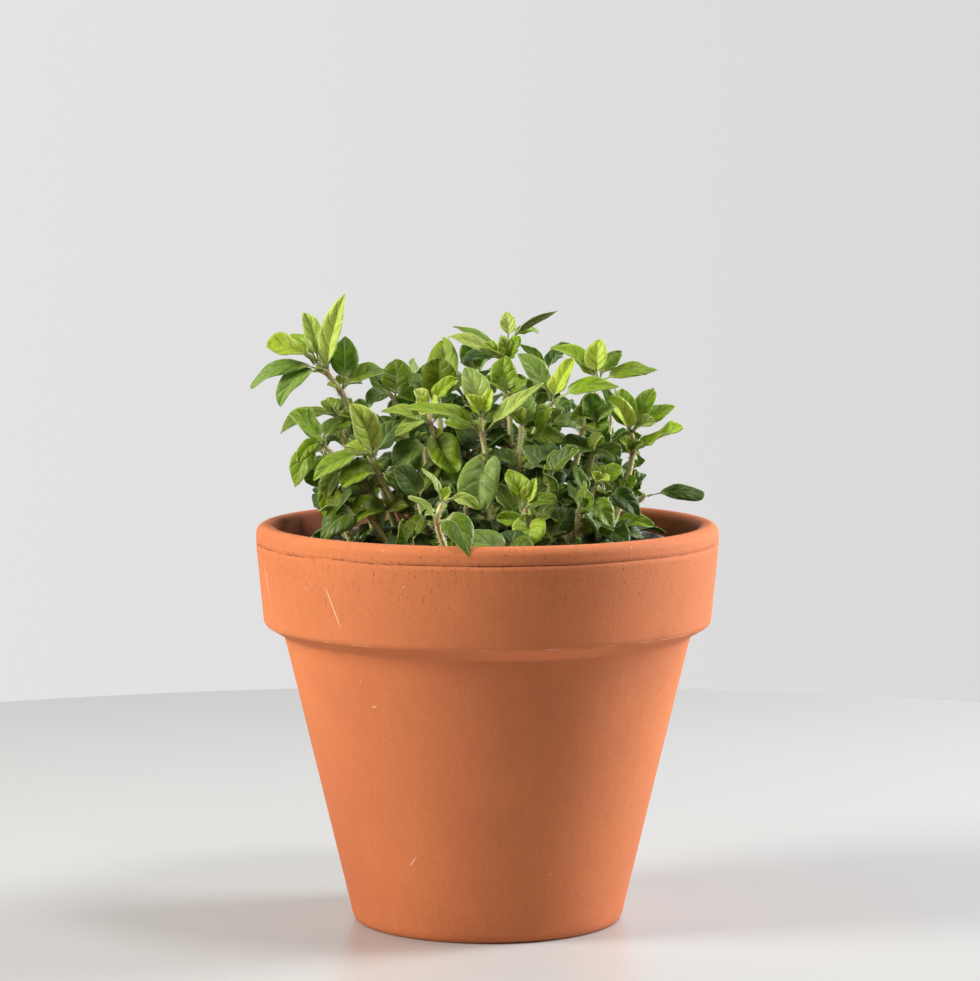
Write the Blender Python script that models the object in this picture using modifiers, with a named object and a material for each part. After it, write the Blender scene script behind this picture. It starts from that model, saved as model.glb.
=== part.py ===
"""Potted oregano: leafy sprigs rooted in a root ball, in a thin nursery pot that stands inside a terracotta pot.

Blender 4.5, metres, +Z up. The origin is on the pot's axis, in the plane of its foot.
The tables of sprigs are in millimetres, and MM turns them into metres.
"""

import math
import random

import bmesh
import bpy
from mathutils import Matrix, Vector
from mathutils.bvhtree import BVHTree

MM = 0.001
GAP = 0.3  # clearance left between two pieces that touch

# Terracotta pot
POT_HEIGHT = 130.0
POT_STEPS = 60
LIP_RADIUS = 75.2
LIP_ROUND = 3.0
LIP_BAND_BOTTOM = 122.8  # the lip is a flat band above the tapering collar
LIP_STEP = 1.8  # height in which the band runs in to the collar
COLLAR_TOP_RADIUS = 75.0
COLLAR_BOTTOM = 99.3
COLLAR_BOTTOM_RADIUS = 72.9
COLLAR_ROUND = 2.5
BODY_TOP = 92.0  # where the underside of the collar runs into the body
BODY_COVE = 2.0  # height of the small cove there
COVE_REACH = 0.6
BODY_TAPER = 0.239  # radius gained per unit of height, inside and outside
BODY_FOOT = 5.3
BODY_FOOT_RADIUS = 45.0
FOOT_RADIUS = 42.3
FOOT_FLARE = (1.9, 2.1)  # radius gained and height, of the slant from the foot to the body
WALL = 6.0
FLOOR = 8.0
FLOOR_CORNER = 2.0  # slant between floor and wall, inside
MOUTH_FLARE = (1.3, 0.7)  # radius gained at the top of the inner wall, and how far below the top that is
DRAIN_RADIUS = 8.0

# Nursery pot, a 12 cm plastic pot wedged in the tapering clay
NURSERY_STEPS = 48
NURSERY_WALL = 1.0
NURSERY_BASE_RADIUS = 41.5  # to the middle of the plastic, as are the next three
NURSERY_SHOULDER_RADIUS = 55.6
NURSERY_RIM_RADIUS = 59.0
NURSERY_RIM_TOP = 124.0
NURSERY_RIM_ROUND = 1.0
NURSERY_SHOULDER_DROP = 3.0  # from the top of the rim to where the wall starts
NURSERY_SKIRT = 5.5
NURSERY_HOLES = 8
NURSERY_HOLE_RADIUS = 3.5
NURSERY_HOLE_SIDES = 12
NURSERY_HOLE_CIRCLE = 29.0

# Potting mix
MIX_TOP = 114.0

# Sprigs
STEM_SIDE = 2.2  # square stem at the soil
STEM_TIP_SIDE = 1.4
STEM_STEP = 14.0  # longest straight stretch
NODE_LENGTH = 1.7
NODE_SWELL = 1.25
LEAF_THICKNESS = 0.8
PETIOLE_SIDE = 1.0
PETIOLE_SHARE = 0.18
BLADE = ((0.30, 0.46), (0.70, 0.42), (1.00, 0.07))  # share of the blade's length, half width / width
ARCH = 0.16  # rise of the midrib / leaf length
TO_LIGHT = Vector((-0.1, -0.8, 1.0)).normalized()  # every leaf turns its upper side this way as far as it can

# Each sprig is a route of points from the soil to the tip, then the leaves at some of those points.
# A leaf is the way from its node to its tip (x, y, z), its width, and its roll about its midrib in degrees.
SPRIGS = {
    "sprig_tall_left": (
        [(-26, 6), (-34, 4, 140), (-43, -1, 163), (-47.6, -3, 173), (-52, -4, 179), (-55, -5, 182.5)],
        {
            2: [(-8, -3, -2, 7, 0), (7, 8, 1, 8, 0)],
            3: [(14.5, 4, 6.5, 8.5, 0), (6, 12, 2, 7, 0), (1, 3, 17.5, 9, 0)],
            4: [(-15.2, -6, -9.4, 7, 0), (-24.6, -3, -3.6, 6, 0), (5.9, -4, 25.6, 9, 0), (-1.5, 5, 7, 4, 0)],
            5: [(-15.8, -2, 5.8, 9, 0), (-4.2, 2, 15.9, 8, 0), (-9.2, 9, 9, 5, 0)],
        },
    ),
    "sprig_left_side": (
        [(-30, -3), (-39, -4, 140), (-46, -5, 148), (-53, -6, 156)],
        {
            1: [(-8, 5, -3, 7, 0), (7, 8, 3, 8, 0), (-9, -8, -2, 8, 0)],
            2: [(-6, -2, -9.3, 7, 0), (-11, -4, 1.4, 6, 0), (-5, 10, 4, 7, 0), (-7, 3, -16.8, 6, 0)],
            3: [(-10.4, -8, 10.6, 12, 0), (-9.2, -5, -13.2, 8, 0), (-7.5, -9, -4.6, 6, 0), (6, 4, 9, 6, 0)],
        },
    ),
    "sprig_left_back": (
        [(-34, 14), (-42, 13, 142), (-47, 10, 156), (-49, 9, 164)],
        {
            1: [(-11, 6, 2, 9, 0), (4, 12, 4, 9, 0), (8, -4, 1, 8, 0)],
            2: [(-7, 4, 0, 8, 0), (8, 6, 3, 9, 0)],
            3: [(-4, 5, 5.4, 7, 0), (4, 5, 5.5, 6, 0), (-18.5, -4, -4.6, 6, 0)],
        },
    ),
    "sprig_front_left": (
        [(-19, -12), (-29, -13, 136), (-35, -14, 147), (-36.5, -15, 153)],
        {
            1: [(-20, -7, -7.5, 10, 0), (9, 6, 2, 8, 0)],
            2: [(-11.4, -7, -2.6, 9, 0), (9, -3, -6, 8, 0), (-12, 5, -8, 8, 0)],
            3: [(-6.6, -5, 16.9, 10.5, 0), (-19, -6, -6.6, 7.5, 0), (8, 3, 11, 8.5, 0), (-9.5, 2, 3.6, 4.5, 0)],
        },
    ),
    "sprig_low_left": (
        [(-27, -16), (-32, -18, 125), (-38.5, -19, 134.5)],
        {
            1: [(-8, 10, 0, 7, 0), (7, 8, 1, 8, 0)],
            2: [(-14.5, -6, -7.4, 10, 0), (-11, 7, -3, 6, 0)],
        },
    ),
    "sprig_centre_left": (
        [(-4, -8), (-9.5, -8, 134), (-14, -9, 146), (-16.5, -9, 157), (-18.5, -10, 163), (-18.5, -10, 168)],
        {
            1: [(-14, -5, 3, 10, 0), (9, 5, 3, 9, 0), (-3, -10, -3, 8, 0)],
            2: [(-9, 6, -2, 9, 0), (8, 6, 3, 9, 0), (9, -5, -5, 8.5, 0)],
            3: [(6, -8, -9.6, 12.5, 0), (-13.4, -5, -10.2, 9.5, 0)],
            4: [(-15.4, -5, 4.7, 5.5, 0), (-11, -8, -3.2, 6, 0), (9, 6, 2, 7, 0), (-7, 7, 5, 7, 0)],
            5: [(-4.8, 1, 6.2, 5, 0), (8.8, 2, 9.4, 7, 0), (2.5, -4, 2, 4.5, 0), (-4.5, -3, 1.5, 5, 0)],
        },
    ),
    "sprig_centre": (
        [(2, -14), (1, -15, 132), (-0.2, -16, 151), (-1.8, -17, 160.3), (-2.2, -17, 166)],
        {
            1: [(10, -6, 6, 9, 0), (-9, 6, 3, 9, 0), (-12, -5, -2, 5.5, 0), (1, -10, -3, 8, 0)],
            2: [(-1.8, -8, -14.8, 14.5, 0), (4, 10, 2, 9, 0)],
            3: [(-24, -3, 9.3, 6.5, 0), (19.5, -2, 16.5, 6, 0), (-12, 4, 3.5, 6, 0)],
            4: [(-4.4, -3, 7, 5.5, 0), (3.4, -1, 8.6, 5, 0), (-5.2, 5, 15.2, 8.5, 0)],
        },
    ),
    "sprig_upper_left": (
        [(-12, 3), (-14, 4, 135), (-15, 4, 155), (-16, 3, 171)],
        {
            1: [(-10, 4, 4, 10, 0), (9, 6, 4, 10, 0), (1, -11, 1, 9, 0)],
            2: [(-12, -3, 3, 10, 0), (10, 5, 3, 10, 0), (2, -9, -4, 9, 0)],
            3: [(0.5, -3, 12.5, 13, 0), (1, 7, 18, 12.5, 0), (-9.5, 2, 7, 9, 0), (9, 4, 5, 7, 0)],
        },
    ),
    "sprig_back_left": (
        [(-20, 12), (-25, 11, 140), (-28, 9, 157), (-30.4, 6, 170)],
        {
            1: [(-6, 11, 2, 10, 0), (10, 4, 3, 10, 0), (-4, -9, 0, 9, 0)],
            2: [(-11, 5, 1, 9, 0), (8, 8, 4, 9, 0), (7, -6, -2, 8, 0)],
            3: [(0, 4, 12.5, 9.5, 0), (-8, 5, 9.5, 7, 0), (9, -4, 0, 7, 0), (-9, -4, -1, 6.5, 0)],
        },
    ),
    "sprig_top_centre": (
        [(6, 8), (5, 9, 140), (5.5, 9, 162), (6.5, 8, 182), (7, 9, 189)],
        {
            1: [(-9, 7, 4, 10, 0), (10, 5, 3, 10, 0), (-2, -10, 1, 9, 0)],
            2: [(10, 8, 4, 9, 0), (-11, 5, 4, 9, 0)],
            3: [(-17.5, 4, 11.6, 5, 0), (-19, -1, 8.8, 6.5, 0), (-2, -4, 8.5, 5.5, 0), (4, -5, 8.3, 6, 0),
                (-8.3, -5, 5, 6, 0), (-15.5, 7, -0.5, 7, 0)],
            4: [(-1, 3, 9.2, 5, 0), (16, 2, 9, 4, 50), (9.7, 5, 2.4, 4.5, 0)],
        },
    ),
    "sprig_centre_high": (
        [(9, -2), (8, -4, 138), (7.5, -5, 155), (7, -6, 172)],
        {
            1: [(-9, -5, 3, 9, 0), (9, 7, 2, 9, 0)],
            2: [(9, -7, 1, 8, 0), (-8, 4, 4, 8, 0)],
            3: [(-1.8, 1, 12, 9, 0), (5, -5, 4, 7, 0), (5.5, 0, 5.5, 6.5, 0), (-8, -2, 5.5, 6, 0)],
        },
    ),
    "sprig_centre_right": (
        [(8, -11), (10, -12, 148.6), (11, -12, 163)],
        {
            1: [(12.5, -4, 4.6, 11, 0), (-9.3, -5, 5, 8, 0), (8, 7, 0, 8, 0)],
            2: [(0, 3, 10, 9.5, 0), (-3.5, -3, 4, 5.5, 0), (5, 3, 3, 5, 0), (0.5, -3, 5.5, 5, 0)],
        },
    ),
    "sprig_right_centre": (
        [(14, -6), (12.5, -7, 144), (13.8, -8, 157), (21, -8, 170)],
        {
            1: [(12, 4, 2, 9, 0), (7, -9, 1, 9, 0), (-7, -8, -3, 8, 0)],
            2: [(11, -3, 1, 8, 0), (3, 10, 4, 9, 0), (9, -6, -4.5, 7, 0)],
            3: [(-11, 3, 15.6, 7.5, 0), (6.7, 2, 13.7, 7.5, 0), (20.8, -3, 5.6, 7, 0), (-4.6, -5, -9.6, 6, 0),
                (5, -3, -3, 6, 0)],
        },
    ),
    "sprig_right_high": (
        [(22, 4), (28, 3, 145), (31, 2, 160), (36, 2, 176)],
        {
            1: [(11, 7, 3, 10, 0), (-7, 9, 2, 9, 0), (-3, -10, -1, 9, 0)],
            2: [(7, -3, -2, 8, 0), (-9, -5, 3, 8, 0), (6, 8, 3, 8, 0)],
            3: [(0.2, 3, 13.3, 8.5, 0), (19.4, 3, 3.8, 6.5, 0), (7.8, 8, 8.8, 6.5, 0), (-15.5, 4, 11, 6, 0),
                (-8, 6, 8, 6, 0)],
        },
    ),
    "sprig_right_mid": (
        [(27, -8), (31, -9, 138), (34, -9, 154), (35, -9, 163)],
        {
            1: [(-7, -9, 0, 10, 0), (8, 8, 2, 9, 0), (9, -3, 3, 9, 0)],
            2: [(-10, -5, 1, 9, 0), (7.5, -6, -2.6, 9, 0), (2.5, -4, 5.8, 7, 0)],
            3: [(-2.5, -2, 9.2, 10, 0), (5.5, -4, 5.4, 9, 0), (1, -6, -2, 8, 0), (-8, -5, 2, 7, 0)],
        },
    ),
    "sprig_far_right": (
        [(34, -5), (40, -6, 129), (44.3, -6, 141), (47, -6, 153.5), (46.5, -6, 160)],
        {
            1: [(13.4, -5, 1.2, 7, 0), (-8, -5, 2, 7, 0), (-5, 8, 4, 8, 0)],
            2: [(6.8, 4, 5.3, 5.5, 0), (3.6, -3, 4, 6, 0), (-8, 3, 3, 7, 0)],
            3: [(16.2, -4, 7.4, 8.5, -15), (-4.5, -2, 4.5, 5.5, 0), (3, -4, 3, 4.5, 0), (2, 5, -5, 6, 0)],
            4: [(14, 3, 8.4, 7, 0), (7.3, 6, 14, 7, 0), (-7.4, -3, 11.2, 7.5, 0), (-3, 3, 14, 7.5, 0),
                (7.6, -3, 3.6, 6.5, 0), (-6, 7, 11, 6, 0)],
        },
    ),
    "sprig_lone_leaf": (
        [(32, 6), (38, 4, 124), (44, 1, 132), (48, 0.5, 136), (51.5, 0, 139.2)],
        {
            1: [(4, 10, 2, 9, 0), (7, -6, 1, 8, 0)],
            2: [(3, 9, 2, 7, 0), (-8, 4, 6, 7, 0)],
            4: [(18.8, -2, 0.2, 5.2, 0)],
        },
    ),
    "sprig_low_right": (
        [(36, -13), (37.5, -14, 126), (38.3, -14, 140.5)],
        {
            1: [(13, 4, 1, 9, 0), (7, -12, 0, 8, 0)],
            2: [(9.8, -5, -6.2, 8, 0), (-3, -7, 2, 6, 0), (-8, 3, 2, 7, 0)],
        },
    ),
    "sprig_right_front": (
        [(22, -17), (27, -18, 131.5), (32, -19, 139), (35.5, -19, 144.5)],
        {
            1: [(-8, -6, 2, 9, 0), (6, -9, -2, 8, 0), (-9, 4, 3, 9, 0)],
            2: [(7.2, -6, -7.2, 8.5, 0), (-4.2, 3, 11, 5, 20), (-8, -3, 1, 7, 0)],
            3: [(-2.2, -2, 3.7, 4.5, 0), (7.2, 2, 5, 7, 0), (3, -5, 1.5, 4.5, 0), (0.8, 4, 5.6, 6, 0)],
        },
    ),
    "sprig_front_right": (
        [(12, -28), (12.5, -31, 132.5), (12, -32, 138)],
        {
            1: [(0.3, -9, -5.6, 12, 0), (-9.4, -4, 2.3, 6, -20), (10, 5, 1, 8, 0)],
            2: [(-5.7, 3, 11.4, 8, 0), (3, 1, 9, 5.5, 0), (10, -4, 2, 7, 0)],
        },
    ),
    "sprig_over_rim": (
        [(-10, -46), (-12.5, -52, 125), (-15.6, -60.5, 136.5), (-13.7, -62, 143)],
        {
            2: [(9.7, -14.5, -9, 9.5, 0), (-8.8, 6, 7, 7, 60)],
            3: [(-6.3, -1, 10.4, 4, 40), (11.2, -1, -2.4, 4.5, 30), (1.5, 1, 4.5, 3.5, 0)],
        },
    ),
    "sprig_front_low": (
        [(4, -42), (6, -46, 124)],
        {
            1: [(-13.5, -3, 4, 12, 0), (8, -4, 3, 9, 0), (3, 6, 8, 8, 0)],
        },
    ),
}

# Inner and rear sprigs follow the growth rule: foot (x, y), tip (x, y, z) and bearing of the first leaf pair.
RULED = [
    ((-41, -8), (-47, -16, 133), 20),
    ((-22, -25), (-24, -28, 125), 65),
    ((-12, -24), (-15, -27, 130), 10),
    ((12, -20), (10, -25, 133), 80),
    ((20, -24), (21, -27, 126), 35),
    ((33, -19), (35, -22, 126), 60),
    ((42, 14), (46, 20, 136), 15),
    ((19, -6), (20, -20, 147), 75),
    ((-44, 14), (-54, 22, 150), 40),
    ((-34, 32), (-42, 42, 157), 70),
    ((-19, 30), (-22, 38, 170), 25),
    ((-10, 44), (-10, 56, 158), 5),
    ((-2, 24), (-3, 27, 176), 50),
    ((10, 42), (14, 53, 163), 75),
    ((16, 18), (19, 24, 177), 20),
    ((34, 20), (41, 27, 162), 85),
    ((35, 31), (43, 39, 148), 30),
    ((-18, -17), (-22, -19, 139), 30),
    ((-6, -18), (-7, -18, 138), 70),
    ((26, -24), (29, -27, 136), 20),
    ((-33, -8), (-38, -10, 142), 50),
    ((-24, -2), (-25, -3, 153), 15),
    ((-6, 12), (-7, 13, 168), 75),
    ((-1, -1), (-1, -2, 158), 50),
    ((14, 4), (15, 4, 166), 60),
    ((28, 12), (31, 13, 161), 45),
]
RULE_SPACING = 8.5  # between leaf pairs
RULE_FIRST_PAIR = 8.0
RULE_LEAF = 15.5
RULE_SEED = 7
RULE_BOW = 0.06  # rise of the stem / its length
RULE_SIZES = (0.72, 0.35)  # leaf length / RULE_LEAF: the least, and what age adds
RULE_LIFTS = (50, 45)  # degrees above level of the youngest pair, and how many the oldest loses
RULE_WIDTHS = (0.55, 0.75)  # leaf width / length


def make_collection(name):
    collection = bpy.data.collections.new(name)
    bpy.context.scene.collection.children.link(collection)
    return collection


def clear_scene():
    for old in list(bpy.data.objects):
        bpy.data.objects.remove(old)


def finish(piece, colour, roughness):
    """Gives a piece its own Principled material, smooth shading and sharp edges where it really turns."""
    material = bpy.data.materials.new(piece.name)
    material.use_nodes = True
    shader = material.node_tree.nodes["Principled BSDF"]
    shader.inputs["Base Color"].default_value = (*colour, 1)
    shader.inputs["Roughness"].default_value = roughness
    shader.inputs["Metallic"].default_value = 0
    piece.data.materials.append(material)
    return piece


def arc(centre, radius, start, end, count):
    """Points of a round edge, between two angles in degrees."""
    angles = [math.radians(start + (end - start) * step / (count - 1)) for step in range(count)]
    return [(centre[0] + radius * math.cos(a), centre[1] + radius * math.sin(a)) for a in angles]


def turned(name, profile, steps, closed, collection):
    """Turns a profile of (radius, height) points, in millimetres and down its outer side, about the Z axis."""
    bm = bmesh.new()
    points = [bm.verts.new((radius * MM, 0, height * MM)) for radius, height in profile]
    ends = points[1:] + points[:1] if closed else points[1:]
    for first, second in zip(points, ends):
        bm.edges.new((first, second))
    mesh = bpy.data.meshes.new(name)
    bm.to_mesh(mesh)
    bm.free()
    piece = bpy.data.objects.new(name, mesh)
    collection.objects.link(piece)
    turn = piece.modifiers.new("turn", "SCREW")
    turn.steps = turn.render_steps = steps
    turn.use_merge_vertices = True
    turn.merge_threshold = 0.00001
    turn.use_smooth_shade = True
    return piece


def body_radius(height):
    """Outer radius of the pot's body."""
    return BODY_FOOT_RADIUS + BODY_TAPER * (height - BODY_FOOT)


def inner_radius(height):
    """Radius of the pot's inner wall, which follows the body all the way up."""
    return body_radius(height) - WALL


def terracotta_pot(collection):
    lip_centre = (LIP_RADIUS - LIP_ROUND, POT_HEIGHT - LIP_ROUND)
    collar_centre = (COLLAR_BOTTOM_RADIUS - COLLAR_ROUND, COLLAR_BOTTOM)
    inner_top = POT_HEIGHT - LIP_ROUND
    outer = arc(lip_centre, LIP_ROUND, 90, 0, 4)
    outer += [(LIP_RADIUS, LIP_BAND_BOTTOM), (COLLAR_TOP_RADIUS, LIP_BAND_BOTTOM - LIP_STEP)]
    outer += arc(collar_centre, COLLAR_ROUND, 0, -60, 3)
    outer += [(body_radius(BODY_TOP) + COVE_REACH, BODY_TOP + BODY_COVE), (body_radius(BODY_TOP), BODY_TOP)]
    outer += [(BODY_FOOT_RADIUS, BODY_FOOT), (FOOT_RADIUS + FOOT_FLARE[0], FOOT_FLARE[1]), (FOOT_RADIUS, 0)]
    hole = [(DRAIN_RADIUS, 0), (DRAIN_RADIUS, FLOOR)]
    inner = [(inner_radius(FLOOR) - FLOOR_CORNER, FLOOR), (inner_radius(FLOOR + FLOOR_CORNER), FLOOR + FLOOR_CORNER)]
    inner += [(inner_radius(inner_top), inner_top)]
    inner += [(inner_radius(inner_top) + MOUTH_FLARE[0], POT_HEIGHT - MOUTH_FLARE[1])]
    pot = turned("terracotta_pot", outer + hole + inner, POT_STEPS, True, collection)
    return finish(pot, (0.62, 0.25, 0.12), 0.85)


def nursery_floor():
    """Height of the middle of the nursery pot's floor, where its foot wedges in the clay."""
    outside = NURSERY_BASE_RADIUS + NURSERY_WALL / 2 + GAP
    return BODY_FOOT + (outside + WALL - BODY_FOOT_RADIUS) / BODY_TAPER + NURSERY_WALL / 2


def nursery_pot(collection, cutters):
    shoulder = NURSERY_RIM_TOP - NURSERY_SHOULDER_DROP
    profile = [
        (NURSERY_RIM_RADIUS, NURSERY_RIM_TOP - NURSERY_SKIRT),
        (NURSERY_RIM_RADIUS, NURSERY_RIM_TOP - NURSERY_RIM_ROUND),
        (NURSERY_RIM_RADIUS - NURSERY_RIM_ROUND, NURSERY_RIM_TOP),
        (NURSERY_SHOULDER_RADIUS + NURSERY_RIM_ROUND, NURSERY_RIM_TOP),
        (NURSERY_SHOULDER_RADIUS, shoulder),
        (NURSERY_BASE_RADIUS, nursery_floor()),
        (0, nursery_floor()),
    ]
    pot = turned("nursery_pot", profile, NURSERY_STEPS, False, collection)
    wall = pot.modifiers.new("plastic", "SOLIDIFY")
    wall.thickness = NURSERY_WALL * MM
    wall.offset = 0
    bm = bmesh.new()
    for number in range(NURSERY_HOLES):
        turn = Matrix.Rotation(2 * math.pi * number / NURSERY_HOLES, 4, "Z")
        place = turn @ Matrix.Translation((NURSERY_HOLE_CIRCLE * MM, 0, nursery_floor() * MM))
        bmesh.ops.create_cone(
            bm,
            cap_ends=True,
            segments=NURSERY_HOLE_SIDES,
            radius1=NURSERY_HOLE_RADIUS * MM,
            radius2=NURSERY_HOLE_RADIUS * MM,
            depth=5 * NURSERY_WALL * MM,
            matrix=place,
        )
    mesh = bpy.data.meshes.new("drain_holes")
    bm.to_mesh(mesh)
    bm.free()
    holes = bpy.data.objects.new("drain_holes", mesh)
    holes.hide_render = True
    holes.display_type = "WIRE"
    cutters.objects.link(holes)
    cut = pot.modifiers.new("drain_holes", "BOOLEAN")
    cut.object = holes
    cut.operation = "DIFFERENCE"
    return finish(pot, (0.06, 0.05, 0.055), 0.45)


def potting_mix(collection):
    """The root ball, which fills the nursery pot."""
    bottom = nursery_floor() + NURSERY_WALL / 2 + GAP
    inside = NURSERY_WALL / 2 + 1.5 * GAP
    shoulder = NURSERY_RIM_TOP - NURSERY_SHOULDER_DROP
    rise = (NURSERY_SHOULDER_RADIUS - NURSERY_BASE_RADIUS) / (shoulder - nursery_floor())
    top_radius = NURSERY_BASE_RADIUS + rise * (MIX_TOP - nursery_floor()) - inside
    bottom_radius = NURSERY_BASE_RADIUS + rise * (bottom - nursery_floor()) - inside
    profile = [(0, MIX_TOP), (top_radius, MIX_TOP), (bottom_radius, bottom), (0, bottom)]
    return finish(turned("potting_mix", profile, NURSERY_STEPS, False, collection), (0.05, 0.03, 0.02), 0.95)


class Occupied:
    """What stands where, so that a new leaf is turned or shortened until it is clear of it."""

    def __init__(self):
        self.solids = []

    def add(self, owner, points, faces):
        self.solids.append((owner, *reach(points), BVHTree.FromPolygons(points, faces)))

    def meets(self, points, faces, owner=None, other_than=None):
        """Whether a shape cuts a solid: of one owner only, or of every owner but one."""
        low, high = reach(points)
        tree = None
        for other, other_low, other_high, other_tree in self.solids:
            if other == other_than or owner not in (None, other):
                continue
            if all(low[axis] < other_high[axis] and other_low[axis] < high[axis] for axis in range(3)):
                tree = tree or BVHTree.FromPolygons(points, faces)
                if tree.overlap(other_tree):
                    return True
        return False

    def add_piece(self, piece):
        graph = bpy.context.evaluated_depsgraph_get()
        mesh = piece.evaluated_get(graph).to_mesh()
        points = [vertex.co / MM for vertex in mesh.vertices]
        self.add(piece.name, points, [tuple(face.vertices) for face in mesh.polygons])


def reach(points):
    """Lowest and highest corner of the box round some points."""
    low = [min(point[axis] for point in points) for axis in range(3)]
    high = [max(point[axis] for point in points) for axis in range(3)]
    return low, high


def box_chain(sections, grow=0.0):
    """Points and faces of a closed run of four-cornered sections, each made larger by grow."""
    points = []
    for centre, across, up, half_width, half_thickness in sections:
        points += section_corners(centre, across, up, half_width + grow, half_thickness + grow)
    faces = [(3, 2, 1, 0)]
    for start in range(0, len(points) - 4, 4):
        faces += [(start + k, start + (k + 1) % 4, start + 4 + (k + 1) % 4, start + 4 + k) for k in range(4)]
    last = len(points) - 4
    return points, faces + [(last, last + 1, last + 2, last + 3)]


def section_corners(centre, across, up, half_width, half_thickness):
    """Corners of a section, anticlockwise as seen from the end that it grows towards."""
    signs = ((1, 1), (-1, 1), (-1, -1), (1, -1))
    return [centre + across * (x * half_width) + up * (y * half_thickness) for x, y in signs]


def square_frame(tangent):
    """Two directions square to a stem, of which the first stays level, so that the stem doesn't twist."""
    across = tangent.cross(Vector((0, 1, 0))).normalized()
    return across, tangent.cross(across).normalized()


def stem_sections(route, leaves):
    """The square sections of a stem, and for each leafy node the numbers of the sections where its blocks start."""
    sections, blocks = [], {}
    total = sum((b - a).length for a, b in zip(route, route[1:]))
    walked = 0.0
    for number, point in enumerate(route):
        before = route[max(number - 1, 0)]
        after = route[min(number + 1, len(route) - 1)]
        tangent = (after - before).normalized() if number else Vector((0, 0, 1))
        if number:
            gap = (point - before).length
            steps = math.ceil(gap / STEM_STEP)
            side = STEM_SIDE + (STEM_TIP_SIDE - STEM_SIDE) * walked / total
            direction = (point - before).normalized()
            for step in range(1, steps):
                between = before.lerp(point, step / steps)
                sections.append((between, *square_frame(direction), side / 2, side / 2))
            walked += gap
        side = STEM_SIDE + (STEM_TIP_SIDE - STEM_SIDE) * walked / total
        frame = square_frame(tangent)
        if number not in leaves:
            sections.append((point, *frame, side / 2, side / 2))
            continue
        swollen = side * NODE_SWELL / 2
        count = math.ceil(len(leaves[number]) / 4)
        start = point - tangent * (count * NODE_LENGTH / 2)
        blocks[number] = [len(sections) + block for block in range(count)]
        for block in range(count + 1):
            sections.append((start + tangent * (block * NODE_LENGTH), *frame, swollen, swollen))
    return sections, blocks


def leaf_sections(root, way, width, roll):
    """The petiole's end and the blade's sections of a leaf that runs from root along way."""
    axis = way.normalized()
    up = TO_LIGHT - axis * axis.dot(TO_LIGHT)
    up = Matrix.Rotation(math.radians(roll), 3, axis) @ up.normalized()
    length = way.length
    stations = [(PETIOLE_SHARE, PETIOLE_SIDE / 2, PETIOLE_SIDE / 2)]
    for share, half in BLADE:
        stations.append((PETIOLE_SHARE + (1 - PETIOLE_SHARE) * share, half * width, LEAF_THICKNESS / 2))
    sections = []
    for share, half_width, half_thickness in stations:
        centre = root + way * share + up * (ARCH * length * math.sin(math.pi * share))
        along = axis + up * (ARCH * math.pi * math.cos(math.pi * share))
        along.normalize()
        local_up = (up - along * up.dot(along)).normalized()
        sections.append((centre, local_up.cross(along), local_up, half_width, half_thickness))
    return sections


def trials(way):
    """The leaf as it should lie, then turned, lifted and shortened step by step."""
    for size in (1.0, 0.85, 0.7, 0.55):
        for turn in (0, 12, -12, 24, -24, 38, -38):
            for lift in (0, 10, -10, 22, -22):
                turned_way = Matrix.Rotation(math.radians(turn), 3, "Z") @ way
                level = turned_way.cross(Vector((0, 0, 1)))
                tilt = Matrix.Rotation(math.radians(lift), 3, level)
                yield size, tilt @ turned_way * size


def grow_leaf(bm, face, sections):
    """Extrudes a leaf out of one side of a node, section by section."""
    for section in sections:
        corners = section_corners(*section)
        face = bmesh.ops.extrude_discrete_faces(bm, faces=[face])["faces"][0]
        middle = face.calc_center_median()
        arms = [loop.vert.co - middle for loop in face.loops]
        spread = [corner - section[0] for corner in corners]
        fits = [sum(arms[i].normalized().dot(spread[(i + k) % 4].normalized()) for i in range(4)) for k in range(4)]
        shift = fits.index(max(fits))
        for number, loop in enumerate(face.loops):
            loop.vert.co = corners[(number + shift) % 4]


def node_faces(bm, sections, first):
    """The four side faces of the stem between two sections."""
    bm.verts.ensure_lookup_table()
    ring = set(bm.verts[4 * first : 4 * first + 8])
    found = [face for face in bm.faces if set(face.verts) <= ring]
    low, high = sections[first][0], sections[first + 1][0]
    axis = (high - low).normalized()
    return [face for face in found if abs(face.normal.dot(axis)) < 0.9]


def foot_and_route(route):
    """The route's points, with its foot just clear of the potting mix."""
    return [Vector((*route[0][:2], MIX_TOP + GAP))] + [Vector(point) for point in route[1:]]


def with_petiole(root, shape):
    """The leaf's sections with one more where its petiole leaves the node."""
    return [(root, *shape[0][1:])] + shape


def settle_leaf(name, root, way, width, roll, occupied):
    """The sections of a leaf that is clear of all that stands, or None if it finds no room."""
    for size, tried in trials(way):
        shape = leaf_sections(root, tried, width * size, roll)
        clear = not occupied.meets(*box_chain(with_petiole(root, shape), GAP), other_than=name)
        if clear and not occupied.meets(*box_chain(shape[1:], GAP / 2), owner=name):
            return shape
    return None


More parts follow.
